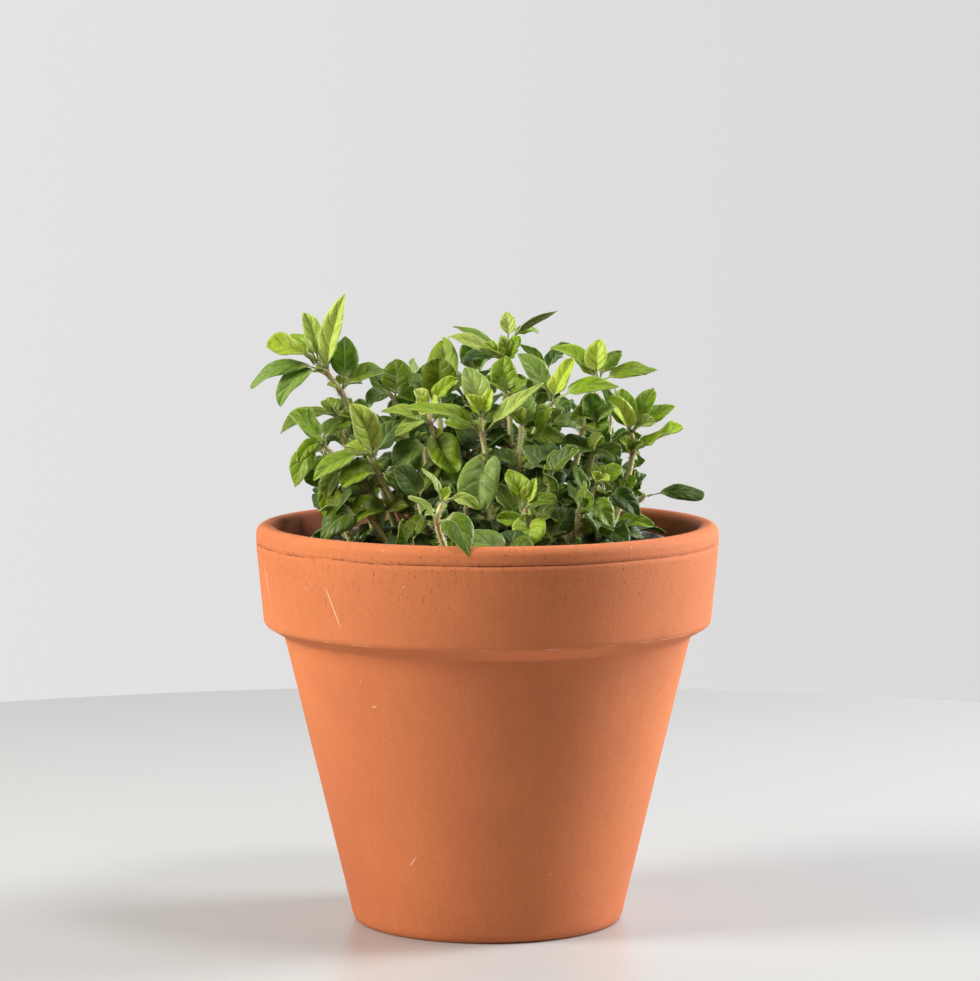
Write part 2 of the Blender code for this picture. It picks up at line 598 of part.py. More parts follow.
def sprig(name, route, leaves, occupied, collection):
    """One stem with its leaves, as one closed body. It returns how many leaves found no room."""
    sections, blocks = stem_sections(foot_and_route(route), leaves)
    bm = bmesh.new()
    corners, faces = box_chain(sections)
    vertices = [bm.verts.new(corner) for corner in corners]
    for face in faces:
        bm.faces.new([vertices[corner] for corner in face])
    bmesh.ops.recalc_face_normals(bm, faces=bm.faces)
    left_out = 0
    for number in sorted(leaves):
        free = [face for block in blocks[number] for face in node_faces(bm, sections, block)]
        for *way, width, roll in leaves[number]:
            way = Vector(way)
            face = max(free, key=lambda one: one.normal.dot(way))
            root = face.calc_center_median()
            shape = settle_leaf(name, root, way, width, roll, occupied)
            if shape is None:
                left_out += 1
                print(f"{name}: no room for the leaf {tuple(way)} at {number}")
                continue
            free.remove(face)
            grow_leaf(bm, face, shape)
            occupied.add(name, *box_chain(with_petiole(root, shape)))
    bmesh.ops.scale(bm, vec=(MM, MM, MM), verts=bm.verts)
    mesh = bpy.data.meshes.new(name)
    bm.to_mesh(mesh)
    bm.free()
    piece = bpy.data.objects.new(name, mesh)
    collection.objects.link(piece)
    finish(piece, (0.12, 0.28, 0.05), 0.5)
    return left_out


def ruled_sprig(foot, tip, bearing, rng):
    """Route and leaves of a sprig that follows the growth rule: crossed pairs, larger and flatter lower down."""
    start, end = Vector((*foot, MIX_TOP)), Vector(tip)
    length = (end - start).length
    pairs = 1 + int((length - RULE_FIRST_PAIR) / RULE_SPACING)
    route, leaves = [foot], {}
    for pair in range(pairs):
        share = (RULE_FIRST_PAIR + RULE_SPACING * pair) / length
        share = min(share, 1.0) if pair < pairs - 1 else 1.0
        bow = Vector((0, 0, 1)) * (RULE_BOW * length * math.sin(math.pi * share))
        route.append(tuple(start.lerp(end, share) + bow))
        age = (pairs - 1 - pair) / max(pairs - 1, 1)
        growth = math.sin(math.pi * (0.15 + 0.6 * age)) * rng.uniform(0.85, 1.1)
        size = RULE_LEAF * (RULE_SIZES[0] + RULE_SIZES[1] * growth)
        lift = math.radians(RULE_LIFTS[0] - RULE_LIFTS[1] * age + rng.uniform(-8, 8))
        turn = math.radians(bearing + 90 * pair + rng.uniform(-12, 12))
        leaves[pair + 1] = []
        for side in (0, math.pi):
            level = Vector((math.cos(turn + side), math.sin(turn + side), 0)) * math.cos(lift)
            way = (level + Vector((0, 0, math.sin(lift)))) * (size * rng.uniform(0.9, 1.1))
            leaves[pair + 1].append((*way, size * rng.uniform(*RULE_WIDTHS), 0))
    return route, leaves


def main():
    clear_scene()
    parts = make_collection("potted_oregano")
    cutters = make_collection("cutters")
    occupied = Occupied()
    holders = [terracotta_pot(parts), nursery_pot(parts, cutters), potting_mix(parts)]
    bpy.context.view_layer.update()
    for holder in holders:
        occupied.add_piece(holder)
    plants = dict(SPRIGS)
    rng = random.Random(RULE_SEED)
    for number, (foot, tip, bearing) in enumerate(RULED, 1):
        plants[f"sprig_inner_{number:02}"] = ruled_sprig(foot, tip, bearing, rng)
    # Every stem stands before the first leaf grows, so that leaves make way for stems.
    for name, (route, leaves) in plants.items():
        sections, _ = stem_sections(foot_and_route(route), leaves)
        if occupied.meets(*box_chain(sections, GAP)):
            print(f"{name}: the stem meets another piece")
        occupied.add(name, *box_chain(sections))
    left_out = sum(sprig(name, *plant, occupied, parts) for name, plant in plants.items())
    print(f"{len(plants)} sprigs, {left_out} leaves found no room")


main()
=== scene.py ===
# %% [markdown]
# # A potted oregano
#
# The plant is an assembly: leafy sprigs rooted in potting mix, in a thin plastic nursery pot that stands in
# a clay pot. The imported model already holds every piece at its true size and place, so this file only
# dresses it: each plain solid is replaced by a detailed mesh of the same piece, or keeps its mesh and gets
# a better finish.

import math
import random
from types import SimpleNamespace

import bmesh
import bpy
from mathutils import Matrix, Vector, noise


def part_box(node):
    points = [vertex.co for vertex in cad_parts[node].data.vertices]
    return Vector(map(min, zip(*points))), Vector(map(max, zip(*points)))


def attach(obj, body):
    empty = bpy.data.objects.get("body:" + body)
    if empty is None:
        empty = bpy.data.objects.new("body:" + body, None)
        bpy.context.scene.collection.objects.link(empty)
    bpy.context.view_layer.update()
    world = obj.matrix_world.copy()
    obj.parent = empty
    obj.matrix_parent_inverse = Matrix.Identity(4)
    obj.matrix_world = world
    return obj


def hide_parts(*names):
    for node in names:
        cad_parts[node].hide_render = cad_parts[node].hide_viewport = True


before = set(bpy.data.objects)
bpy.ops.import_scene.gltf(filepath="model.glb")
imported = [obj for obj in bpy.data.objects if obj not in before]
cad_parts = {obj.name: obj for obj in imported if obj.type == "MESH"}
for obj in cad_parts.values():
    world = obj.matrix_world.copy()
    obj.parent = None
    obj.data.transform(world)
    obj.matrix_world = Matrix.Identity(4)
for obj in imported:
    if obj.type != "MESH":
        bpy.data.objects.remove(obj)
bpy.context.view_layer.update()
MM = 0.001

# %% [markdown]
# ## Sizes taken from the frame
#
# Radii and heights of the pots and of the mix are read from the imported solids' boxes, so that the dressed
# pieces can't drift away from them.

# %% Driving sizes
def round_size(node):
    """Radius, foot and top of a round solid that stands on the axis."""
    low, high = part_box(node)
    return high[0], low[2], high[2]


LIP_RADIUS, POT_FOOT, POT_HEIGHT = round_size("terracotta_pot")
NURSERY_RIM_RADIUS, NURSERY_FOOT, NURSERY_RIM_TOP = round_size("nursery_pot")
MIX_RADIUS, MIX_BOTTOM, MIX_TOP = round_size("potting_mix")
print(f"lip {LIP_RADIUS:.4f} m, pot {POT_HEIGHT:.4f} m, mix top {MIX_TOP:.4f} m")

# %% [markdown]
# ## Small helpers
#
# Every finish is a node tree with a Principled shader at its end. A few short functions keep those trees
# readable: one adds a node, one mixes two colours by a mask, one turns a pattern into a mask.


# %% Node helpers
class Finish:
    """A material under construction."""

    def __init__(self, name, roughness):
        self.material = bpy.data.materials.new(name)
        self.material.use_nodes = True
        self.nodes = self.material.node_tree.nodes
        self.links = self.material.node_tree.links
        self.shader = self.nodes["Principled BSDF"]
        self.shader.inputs["Roughness"].default_value = roughness

    def set(self, socket, value):
        """Feeds a socket with a link if the value is another node's output, and with a constant if not."""
        if isinstance(value, bpy.types.NodeSocket):
            self.links.new(value, socket)
        elif isinstance(value, tuple) and len(value) == 3 and socket.type == "RGBA":
            socket.default_value = (*value, 1)
        else:
            socket.default_value = value

    def add(self, kind, inputs=(), **settings):
        node = self.nodes.new(kind)
        for name, value in settings.items():
            setattr(node, name, value)
        for key, value in dict(inputs).items():
            self.set(node.inputs[key], value)
        return node

    def place(self, scale=(1, 1, 1)):
        """Object coordinates in metres, times a scale along each axis."""
        coordinates = self.add("ShaderNodeTexCoord").outputs["Object"]
        return self.add("ShaderNodeMapping", {"Vector": coordinates, "Scale": scale}).outputs["Vector"]

    def noise(self, place, scale, detail=3.0, rough=0.5):
        inputs = {"Vector": place, "Scale": scale, "Detail": detail, "Roughness": rough}
        return self.add("ShaderNodeTexNoise", inputs).outputs["Fac"]

    def split(self, vector):
        return self.add("ShaderNodeSeparateXYZ", {0: vector}).outputs

    def uv(self, name):
        """The two coordinates of a UV map."""
        return self.split(self.add("ShaderNodeUVMap", uv_map=name).outputs[0])[:2]

    def math(self, operation, first, second=0.0, clamp=False):
        node = self.add("ShaderNodeMath", {0: first, 1: second}, operation=operation, use_clamp=clamp)
        return node.outputs[0]

    def times(self, first, second):
        return self.math("MULTIPLY", first, second)

    def less(self, first, second):
        return self.math("SUBTRACT", first, second)

    def away(self, value, middle):
        """How far a value is from a middle, on either side."""
        return self.math("ABSOLUTE", self.less(value, middle))

    def ramp(self, value, low, high, start=0.0, end=1.0):
        """A mask that rises smoothly from start to end while the value goes from low to high."""
        inputs = {"Value": value, "From Min": low, "From Max": high, "To Min": start, "To Max": end}
        node = self.add("ShaderNodeMapRange", inputs, interpolation_type="SMOOTHSTEP")
        return node.outputs["Result"]

    def patches(self, place, scale, detail, rough, low, high, start=0.0, end=1.0):
        """A mask of soft-edged patches, cut from noise between two levels."""
        return self.ramp(self.noise(place, scale, detail, rough), low, high, start, end)

    def mix(self, mask, first, second):
        """From the first colour where the mask is 0 to the second where it is 1."""
        node = self.add("ShaderNodeMix", {0: mask}, data_type="RGBA")
        self.set(node.inputs[6], first)
        self.set(node.inputs[7], second)
        return node.outputs[2]

    def coat(self, colour, mask, share, pigment):
        """The colour with a share of a pigment laid over it where the mask is."""
        return self.mix(self.times(mask, share), colour, pigment)

    def bump(self, height, strength, distance, normal=None):
        inputs = {"Height": height, "Strength": strength, "Distance": distance}
        if normal is not None:
            inputs["Normal"] = normal
        return self.add("ShaderNodeBump", inputs).outputs["Normal"]

    def attribute(self, name):
        return self.add("ShaderNodeAttribute", attribute_name=name).outputs["Fac"]

    def end(self, colour, **inputs):
        """Feeds the shader: the colour, then other inputs, whose names have _ for a space."""
        for name, value in {"Base Color": colour, **inputs}.items():
            self.set(self.shader.inputs[name.replace("_", " ")], value)
        return self.material


scene = bpy.context.scene


def new_object(name, data):
    thing = bpy.data.objects.new(name, data)
    scene.collection.objects.link(thing)
    return thing


def smooth_object(name, bm, materials):
    """Turns a bmesh into a smooth-shaded object of the scene."""
    mesh = bpy.data.meshes.new(name)
    bm.to_mesh(mesh)
    bm.free()
    mesh.shade_smooth()
    for material in materials:
        mesh.materials.append(material)
    return new_object(name, mesh)


def make_piece(name, bm, materials, node):
    """Turns a bmesh into a piece that rides on the one body and stands for a CAD node."""
    piece = smooth_object(name, bm, materials)
    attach(piece, "root")
    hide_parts(node)
    return piece


# %% [markdown]
# ## Terracotta
#
# Unglazed clay is matt, orange-red and never even: the firing leaves warmer and paler clouds, the turning
# leaves fine upright drag marks and pits, and handling leaves pale scratches and specks. The pattern reads
# the pot's own place in metres, so that it has no seam, and its UV map (distance round the lip, height)
# places single marks.


# %% Terracotta finish
CREASE_HEIGHT = 0.1242
COLLAR_CORNER = 0.0979


def scratch_mask(finish, u, v, start, end, width):
    """A thin tapering mark between two points of the UV map, in metres round the lip and up the pot."""
    length = math.hypot(end[0] - start[0], end[1] - start[1])
    way = ((end[0] - start[0]) / length, (end[1] - start[1]) / length)
    du, dv = finish.less(u, start[0]), finish.less(v, start[1])
    along = finish.math("ADD", finish.times(du, way[0]), finish.times(dv, way[1]))
    off = finish.away(finish.times(du, way[1]), finish.times(dv, way[0]))
    beside = finish.ramp(off, width * 0.4, width, 1.0, 0.0)
    started = finish.ramp(along, 0.0, length * 0.2)
    ended = finish.ramp(along, length * 0.6, length, 1.0, 0.0)
    return finish.times(beside, finish.times(started, ended))


# Start, end, width and strength of each scratch.
SCRATCHES = (
    ((-0.0563, 0.1160), (-0.0498, 0.1010), 0.00032, 0.7),
    ((-0.0960, 0.1185), (-0.0925, 0.1080), 0.00050, 0.55),
    ((-0.0470, 0.0770), (-0.0440, 0.0775), 0.00035, 0.5),
    ((-0.0390, 0.0250), (-0.0340, 0.0290), 0.00045, 0.4),
)


def terracotta_finish():
    clay = Finish("terracotta", 0.82)
    place, upright = clay.place(), clay.place((1, 1, 0.16))
    u, v = clay.uv("turned")
    clouds = clay.patches(place, 14, 4, 0.55, 0.35, 0.68)
    colour = clay.mix(clouds, (0.575, 0.156, 0.055), (0.675, 0.200, 0.071))
    # Painted light and shade: the clay is painted paler towards the collar and darker at the foot,
    # standing for the light that falls from above and the dimmer bounce from below.
    colour = clay.coat(colour, clay.ramp(v, 0.012, 0.112), 0.20, (0.83, 0.255, 0.095))
    colour = clay.mix(clay.ramp(v, 0.0, 0.05, 0.22, 0.0), colour, (0.40, 0.085, 0.030))
    streaks = clay.patches(upright, 420, 3, 0.6, 0.42, 0.70)
    colour = clay.coat(colour, streaks, 0.13, (0.42, 0.125, 0.05))
    grains = clay.patches(place, 1900, 2, 0.7, 0.50, 0.72)
    colour = clay.coat(colour, grains, 0.18, (0.85, 0.42, 0.22))
    # Pits are thickest on the collar just under the crease.
    pits = clay.patches(clay.place((1, 1, 0.5)), 1500, 1, 0.4, 0.69, 0.74)
    pits = clay.times(pits, clay.ramp(v, 0.098, 0.121, 0.15, 1.0))
    colour = clay.coat(colour, pits, 0.6, (0.25, 0.07, 0.03))
    # Painted shade: the crease is painted as a dark line, standing for the shade in its groove; the line
    # wanders a little and is broken by noise.
    crumbled = clay.times(clay.less(clay.noise(place, 650, 2, 0.6), 0.5), 0.0008)
    crease_shade_line = clay.math("ABSOLUTE", clay.math("ADD", clay.less(v, CREASE_HEIGHT), crumbled))
    broken = clay.patches(place, 130, 3, 0.8, 0.38, 0.58)
    broken = clay.times(broken, clay.ramp(u, -0.03, 0.06, 1.0, 0.55))
    crease = clay.times(clay.ramp(crease_shade_line, 0.00006, 0.00034, 1.0, 0.0), broken)
    colour = clay.coat(colour, crease, 0.8, (0.22, 0.055, 0.025))
    specks = clay.add("ShaderNodeTexVoronoi", {"Vector": place, "Scale": 95.0}).outputs["Distance"]
    marks = clay.times(clay.ramp(specks, 0.02, 0.04, 1.0, 0.0), 0.4)
    for *shape, strength in SCRATCHES:
        marks = clay.math("MAXIMUM", marks, clay.times(scratch_mask(clay, u, v, *shape), strength))
    # The collar's lower corner is chipped pale here and there.
    corner = clay.ramp(clay.away(v, COLLAR_CORNER), 0.00006, 0.0003, 0.4, 0.0)
    corner = clay.times(corner, clay.patches(place, 60, 3, 0.7, 0.48, 0.62))
    colour = clay.mix(clay.math("MAXIMUM", marks, corner), colour, (0.95, 0.60, 0.40))
    # Painted shade and damp: the inner wall is painted darker, partly as the shade inside the pot and partly
    # as damp patches.
    damp_and_shade = clay.patches(place, 38, 3, 0.6, 0.35, 0.65, 0.35, 0.85)
    colour = clay.coat(colour, clay.attribute("inside"), damp_and_shade, (0.27, 0.085, 0.045))
    rough = clay.ramp(clouds, 0.0, 1.0, 0.78, 0.9)
    normal = clay.bump(clay.noise(place, 1500, 3, 0.65), 0.30, 0.0004)
    normal = clay.bump(clay.noise(upright, 300, 2, 0.5), 0.10, 0.0006, normal)
    normal = clay.bump(clay.less(1.0, pits), 0.5, 0.0005, normal)
    return clay.end(colour, Roughness=rough, Normal=normal, Specular_IOR_Level=0.35)


TERRACOTTA = terracotta_finish()
print("finish:", TERRACOTTA.name)

# %% [markdown]
# ## The clay pot
#
# The real pot is pressed from soft clay in a turning mould: the lip is rounded off by hand, and where the
# mould's ring ends it leaves a broken crease under the lip. The mesh is one profile spun round the axis.
# The crease is real: a row of points is pushed in by a depth that follows noise, so that it fades out in
# places. Small dents under the collar and a slightly uneven lip come from the same noise.

# %% Clay pot profile
BODY_TAPER = 0.239
BODY_FOOT = (0.0450, 0.0053)
WALL = 0.006
FLOOR = 0.008
DRAIN_RADIUS = 0.008


def body_radius(height):
    return BODY_FOOT[0] + BODY_TAPER * (height - BODY_FOOT[1])


def arc(centre, radius, start, end, count):
    angles = [math.radians(start + (end - start) * step / (count - 1)) for step in range(count)]
    return [(centre[0] + radius * math.cos(a), centre[1] + radius * math.sin(a)) for a in angles]


def straight(start, end, count):
    """Points between two ends, the ends themselves left out."""
    shares = [(step + 1) / (count + 1) for step in range(count)]
    return [tuple(a + (b - a) * share for a, b in zip(start, end)) for share in shares]


def pot_profile():
    """Points (radius, height) from the crest down the outside, through the drain hole and up the inside."""
    lip = 0.003
    outer = arc((LIP_RADIUS - lip, POT_HEIGHT - lip), lip, 90, 0, 9)
    outer += [(LIP_RADIUS, 0.1256), (LIP_RADIUS - 0.00001, CREASE_HEIGHT + 0.00025)]
    outer += [(LIP_RADIUS - 0.00022, CREASE_HEIGHT), (LIP_RADIUS - 0.00004, CREASE_HEIGHT - 0.00022)]
    collar_top, collar_foot = (LIP_RADIUS - 0.0001, 0.1225), (0.0729, 0.0993)
    outer += [collar_top, *straight(collar_top, collar_foot, 7)]
    outer += arc((0.0704, 0.0993), 0.0025, 0, -60, 6)
    under = (body_radius(0.0935) + 0.0010, 0.0945)
    outer += straight(outer[-1], under, 3)
    outer += arc((under[0] + 0.0008, under[1] - 0.0017), 0.0018, 120, 180, 4)
    body_top = (body_radius(0.0905), 0.0905)
    outer += [body_top, *straight(body_top, BODY_FOOT, 16), BODY_FOOT]
    outer += [(0.0446, 0.0032), (0.0441, 0.0017), (0.0434, 0.0006), (0.0424, POT_FOOT)]
    hole = [(DRAIN_RADIUS + 0.001, POT_FOOT), (DRAIN_RADIUS, 0.001), (DRAIN_RADIUS, FLOOR - 0.001)]
    hole += [(DRAIN_RADIUS + 0.001, FLOOR)]
    corner = (body_radius(FLOOR) - WALL - 0.002, FLOOR)
    wall_foot = (body_radius(FLOOR + 0.002) - WALL, FLOOR + 0.002)
    wall_top = (body_radius(POT_HEIGHT - lip) - WALL, POT_HEIGHT - lip)
    inner = [corner, wall_foot, *straight(wall_foot, wall_top, 14), wall_top]
    inner += [(wall_top[0] + 0.0003, POT_HEIGHT - 0.0016), (wall_top[0] + 0.0010, POT_HEIGHT - 0.0007)]
    inner += [(wall_top[0] + 0.0022, POT_HEIGHT - 0.00015)]
    return outer + hole + inner


def spin_profile(bm, profile, steps, closed):
    """Spins a profile round the Z axis and gives the new mesh outward normals."""
    points = [bm.verts.new((radius, 0, height)) for radius, height in profile]
    ends = points[1:] + points[:1] if closed else points[1:]
    edges = [bm.edges.new(pair) for pair in zip(points, ends)]
    full = {"axis": (0, 0, 1), "cent": (0, 0, 0), "angle": 2 * math.pi, "use_merge": True}
    bmesh.ops.spin(bm, geom=points + edges, steps=steps, **full)
    bmesh.ops.remove_doubles(bm, verts=bm.verts, dist=0.000005)
    bmesh.ops.recalc_face_normals(bm, faces=bm.faces)


def unroll(bm, seam_radius):
    """A UV map of distance round the front, counted from it, and height, both in metres."""
    layer = bm.loops.layers.uv.new("turned")
    for face in bm.faces:
        centre = face.calc_center_median()
        middle = math.atan2(centre.x, -centre.y)
        for loop in face.loops:
            turn = math.atan2(loop.vert.co.x, -loop.vert.co.y) - middle
            angle = middle + math.remainder(turn, 2 * math.pi)
            loop[layer].uv = (angle * seam_radius, loop.vert.co.z)


def wear(co):
    """How far a point of the clay moves: crease breaks, dents under the collar and a slightly uneven lip."""
    moved = Vector(co)
    level = Vector((co.x, co.y, 0)).normalized()
    around = Vector((co.x, co.y, 0)) * 60
    if abs(co.z - CREASE_HEIGHT) < 0.0002 and co.xy.length > LIP_RADIUS - 0.001:
        depth = max(0.0, noise.noise(around) * 0.9 + 0.30) * 0.0003
        moved -= level * depth
    if abs(co.z - CREASE_HEIGHT) < 0.0003:
        moved.z += noise.noise(around * 0.7) * 0.0004
    moved -= level * 0.00010 * abs(noise.noise(co * 34))
    if 0.0965 < co.z < 0.0995 and co.xy.length > 0.07:
        chip = max(0.0, noise.noise(co * 150) - 0.38)
        moved -= level * chip * 0.0016
    return moved


# %% Clay pot mesh
def clay_pot():
    bm = bmesh.new()
    inside = bm.verts.layers.float.new("inside")
    spin_profile(bm, pot_profile(), steps=288, closed=True)
    for vert in bm.verts:
        radius = vert.co.xy.length
        wall = body_radius(vert.co.z) - WALL
        above_lip = max(0.0, (radius - wall) / 0.0045)
        vert[inside] = max(0.0, 1.0 - above_lip) if vert.co.z > FLOOR / 2 else 0.0
    unroll(bm, LIP_RADIUS)
    for vert in bm.verts:
        vert.co = wear(vert.co)
    return make_piece("clay_pot", bm, [TERRACOTTA], "terracotta_pot")


pot = clay_pot()
print(pot.name, len(pot.data.polygons), "faces")

# %% [markdown]
# ## The nursery pot
#
# Growers sell herbs in a thin moulded pot with a rolled rim, and it is dropped into the clay pot as it is.
# Only the rim and a little of the wall can be seen, scuffed here and there, and the top of the rim is
# painted pale pinkish-grey as a painted reflection of the light and the clay round it. It is a thin
# profile spun round the axis.


# %% Nursery pot finish and mesh
def plastic_finish():
    plastic = Finish("nursery_plastic", 0.42)
    place = plastic.place()
    scuffs = plastic.patches(place, 160, 4, 0.7, 0.45, 0.7)
    colour = plastic.mix(scuffs, (0.045, 0.036, 0.042), (0.11, 0.085, 0.095))
    # Painted reflection: the top of the rim is painted pale pinkish-grey, standing for the light and the
    # clay that it reflects.
    edge = plastic.ramp(plastic.split(place)[2], NURSERY_RIM_TOP - 0.0016, NURSERY_RIM_TOP - 0.0002)
    colour = plastic.coat(colour, edge, 0.75, (0.30, 0.22, 0.235))
    rough = plastic.ramp(scuffs, 0.0, 1.0, 0.35, 0.6)
    normal = plastic.bump(plastic.noise(place, 900, 2, 0.5), 0.12, 0.0002)
    return plastic.end(colour, Roughness=rough, Normal=normal)


PLASTIC = plastic_finish()
PLASTIC_WALL = 0.0010


def nursery_profile():
    """A loop round the plastic's section: down the outside, in under the floor and back up the inside."""
    rim, top, wall = NURSERY_RIM_RADIUS, NURSERY_RIM_TOP, PLASTIC_WALL
    shoulder, foot = (0.0561, top - 0.0035), (0.0420, NURSERY_FOOT)
    skirt, floor = top - 0.0060, NURSERY_FOOT + wall
    loop = [*arc((rim - 0.0012, top - 0.0012), 0.0012, 90, 0, 5), (rim, skirt), (rim - wall, skirt)]
    loop += [(rim - wall, top - 0.0016), (rim - 0.0016, top - wall), (shoulder[0] + 0.0012, top - wall)]
    loop += [shoulder, *straight(shoulder, foot, 3), foot, (0.0, NURSERY_FOOT), (0.0, floor)]
    loop += [(foot[0] - 0.0012, floor), (shoulder[0] - wall, shoulder[1])]
    return [*loop, (shoulder[0] + 0.0003, top - 0.0003), (shoulder[0] + 0.0012, top)]


def nursery():
    bm = bmesh.new()
    spin_profile(bm, nursery_profile(), steps=144, closed=True)
    # The spun edge on the axis bounds no face of its own.
    loose = [edge for edge in bm.edges if not edge.link_faces]
    bmesh.ops.delete(bm, geom=loose, context="EDGES")
    return make_piece("nursery_pot_shell", bm, [PLASTIC], "nursery_pot")


nursery_piece = nursery()
print(nursery_piece.name, len(nursery_piece.data.polygons), "faces")

# %% [markdown]
# ## Potting mix
#
# Peat, bark fibre and a few white grains of perlite. The root ball is a lathe-turned block whose top is
# roughened with noise, and loose crumbs lie on it: small ico spheres, squashed and turned at random.


# %% Potting mix finish and meshes
def mix_finish(name, dark, light):
    crumb = Finish(name, 0.95)
    place = crumb.place()
    patches = crumb.patches(place, 520, 4, 0.7, 0.4, 0.65)
    colour = crumb.mix(patches, dark, light)
    normal = crumb.bump(crumb.noise(place, 900, 4, 0.7), 0.8, 0.0008)
    return crumb.end(colour, Normal=normal)


MIX = mix_finish("potting_mix", (0.012, 0.007, 0.004), (0.055, 0.032, 0.018))
PERLITE = mix_finish("perlite", (0.45, 0.43, 0.40), (0.72, 0.70, 0.66))


def root_ball():
    bm = bmesh.new()
    shares = (0, 0.12, 0.25, 0.37, 0.49, 0.6, 0.7, 0.8, 0.88, 0.95)
    section = [(MIX_RADIUS * share, MIX_TOP - 0.0006) for share in shares]
    section += [(MIX_RADIUS - 0.0004, MIX_TOP - 0.0012), (MIX_RADIUS - 0.0002, MIX_TOP - 0.004)]
    section += [(MIX_RADIUS - 0.0135, MIX_BOTTOM), (0, MIX_BOTTOM)]
    spin_profile(bm, section, steps=72, closed=False)
    for vert in bm.verts:
        if vert.co.z > MIX_TOP - 0.002:
            vert.co.z += 0.0006 * noise.noise(vert.co * 240) + 0.0005 * noise.noise(vert.co * 60)
            vert.co.z = min(vert.co.z, MIX_TOP + 0.0002)
    return make_piece("root_ball", bm, [MIX], "potting_mix")


def crumbs(name, count, smallest, largest, material, seed):
    rng = random.Random(seed)
    bm = bmesh.new()
    for _ in range(count):
        reach, angle = MIX_RADIUS * 0.95 * math.sqrt(rng.random()), rng.uniform(0, 2 * math.pi)
        size = rng.uniform(smallest, largest)
        place = Matrix.Translation((reach * math.cos(angle), reach * math.sin(angle), MIX_TOP + size * 0.15))
        turn = Matrix.Rotation(rng.uniform(0, 6), 4, "Z") @ Matrix.Rotation(rng.uniform(-0.5, 0.5), 4, "X")
        shape = Matrix.Diagonal((size, size * rng.uniform(0.35, 0.9), size * rng.uniform(0.3, 0.6), 1))
        made = bmesh.ops.create_icosphere(bm, subdivisions=1, radius=1, matrix=place @ turn @ shape)
        for vert in made["verts"]:
            vert.co += Vector((rng.uniform(-1, 1), rng.uniform(-1, 1), rng.uniform(-1, 1))) * size * 0.12
    piece = make_piece(name, bm, [material], "potting_mix")
    piece.data.set_sharp_from_angle(angle=math.radians(35))
    return piece


root_ball()
crumbs("mix_crumbs", 900, 0.0007, 0.0024, MIX, 3)
crumbs("perlite_grains", 60, 0.0007, 0.0015, PERLITE, 4)
print("root ball, crumbs and perlite made")
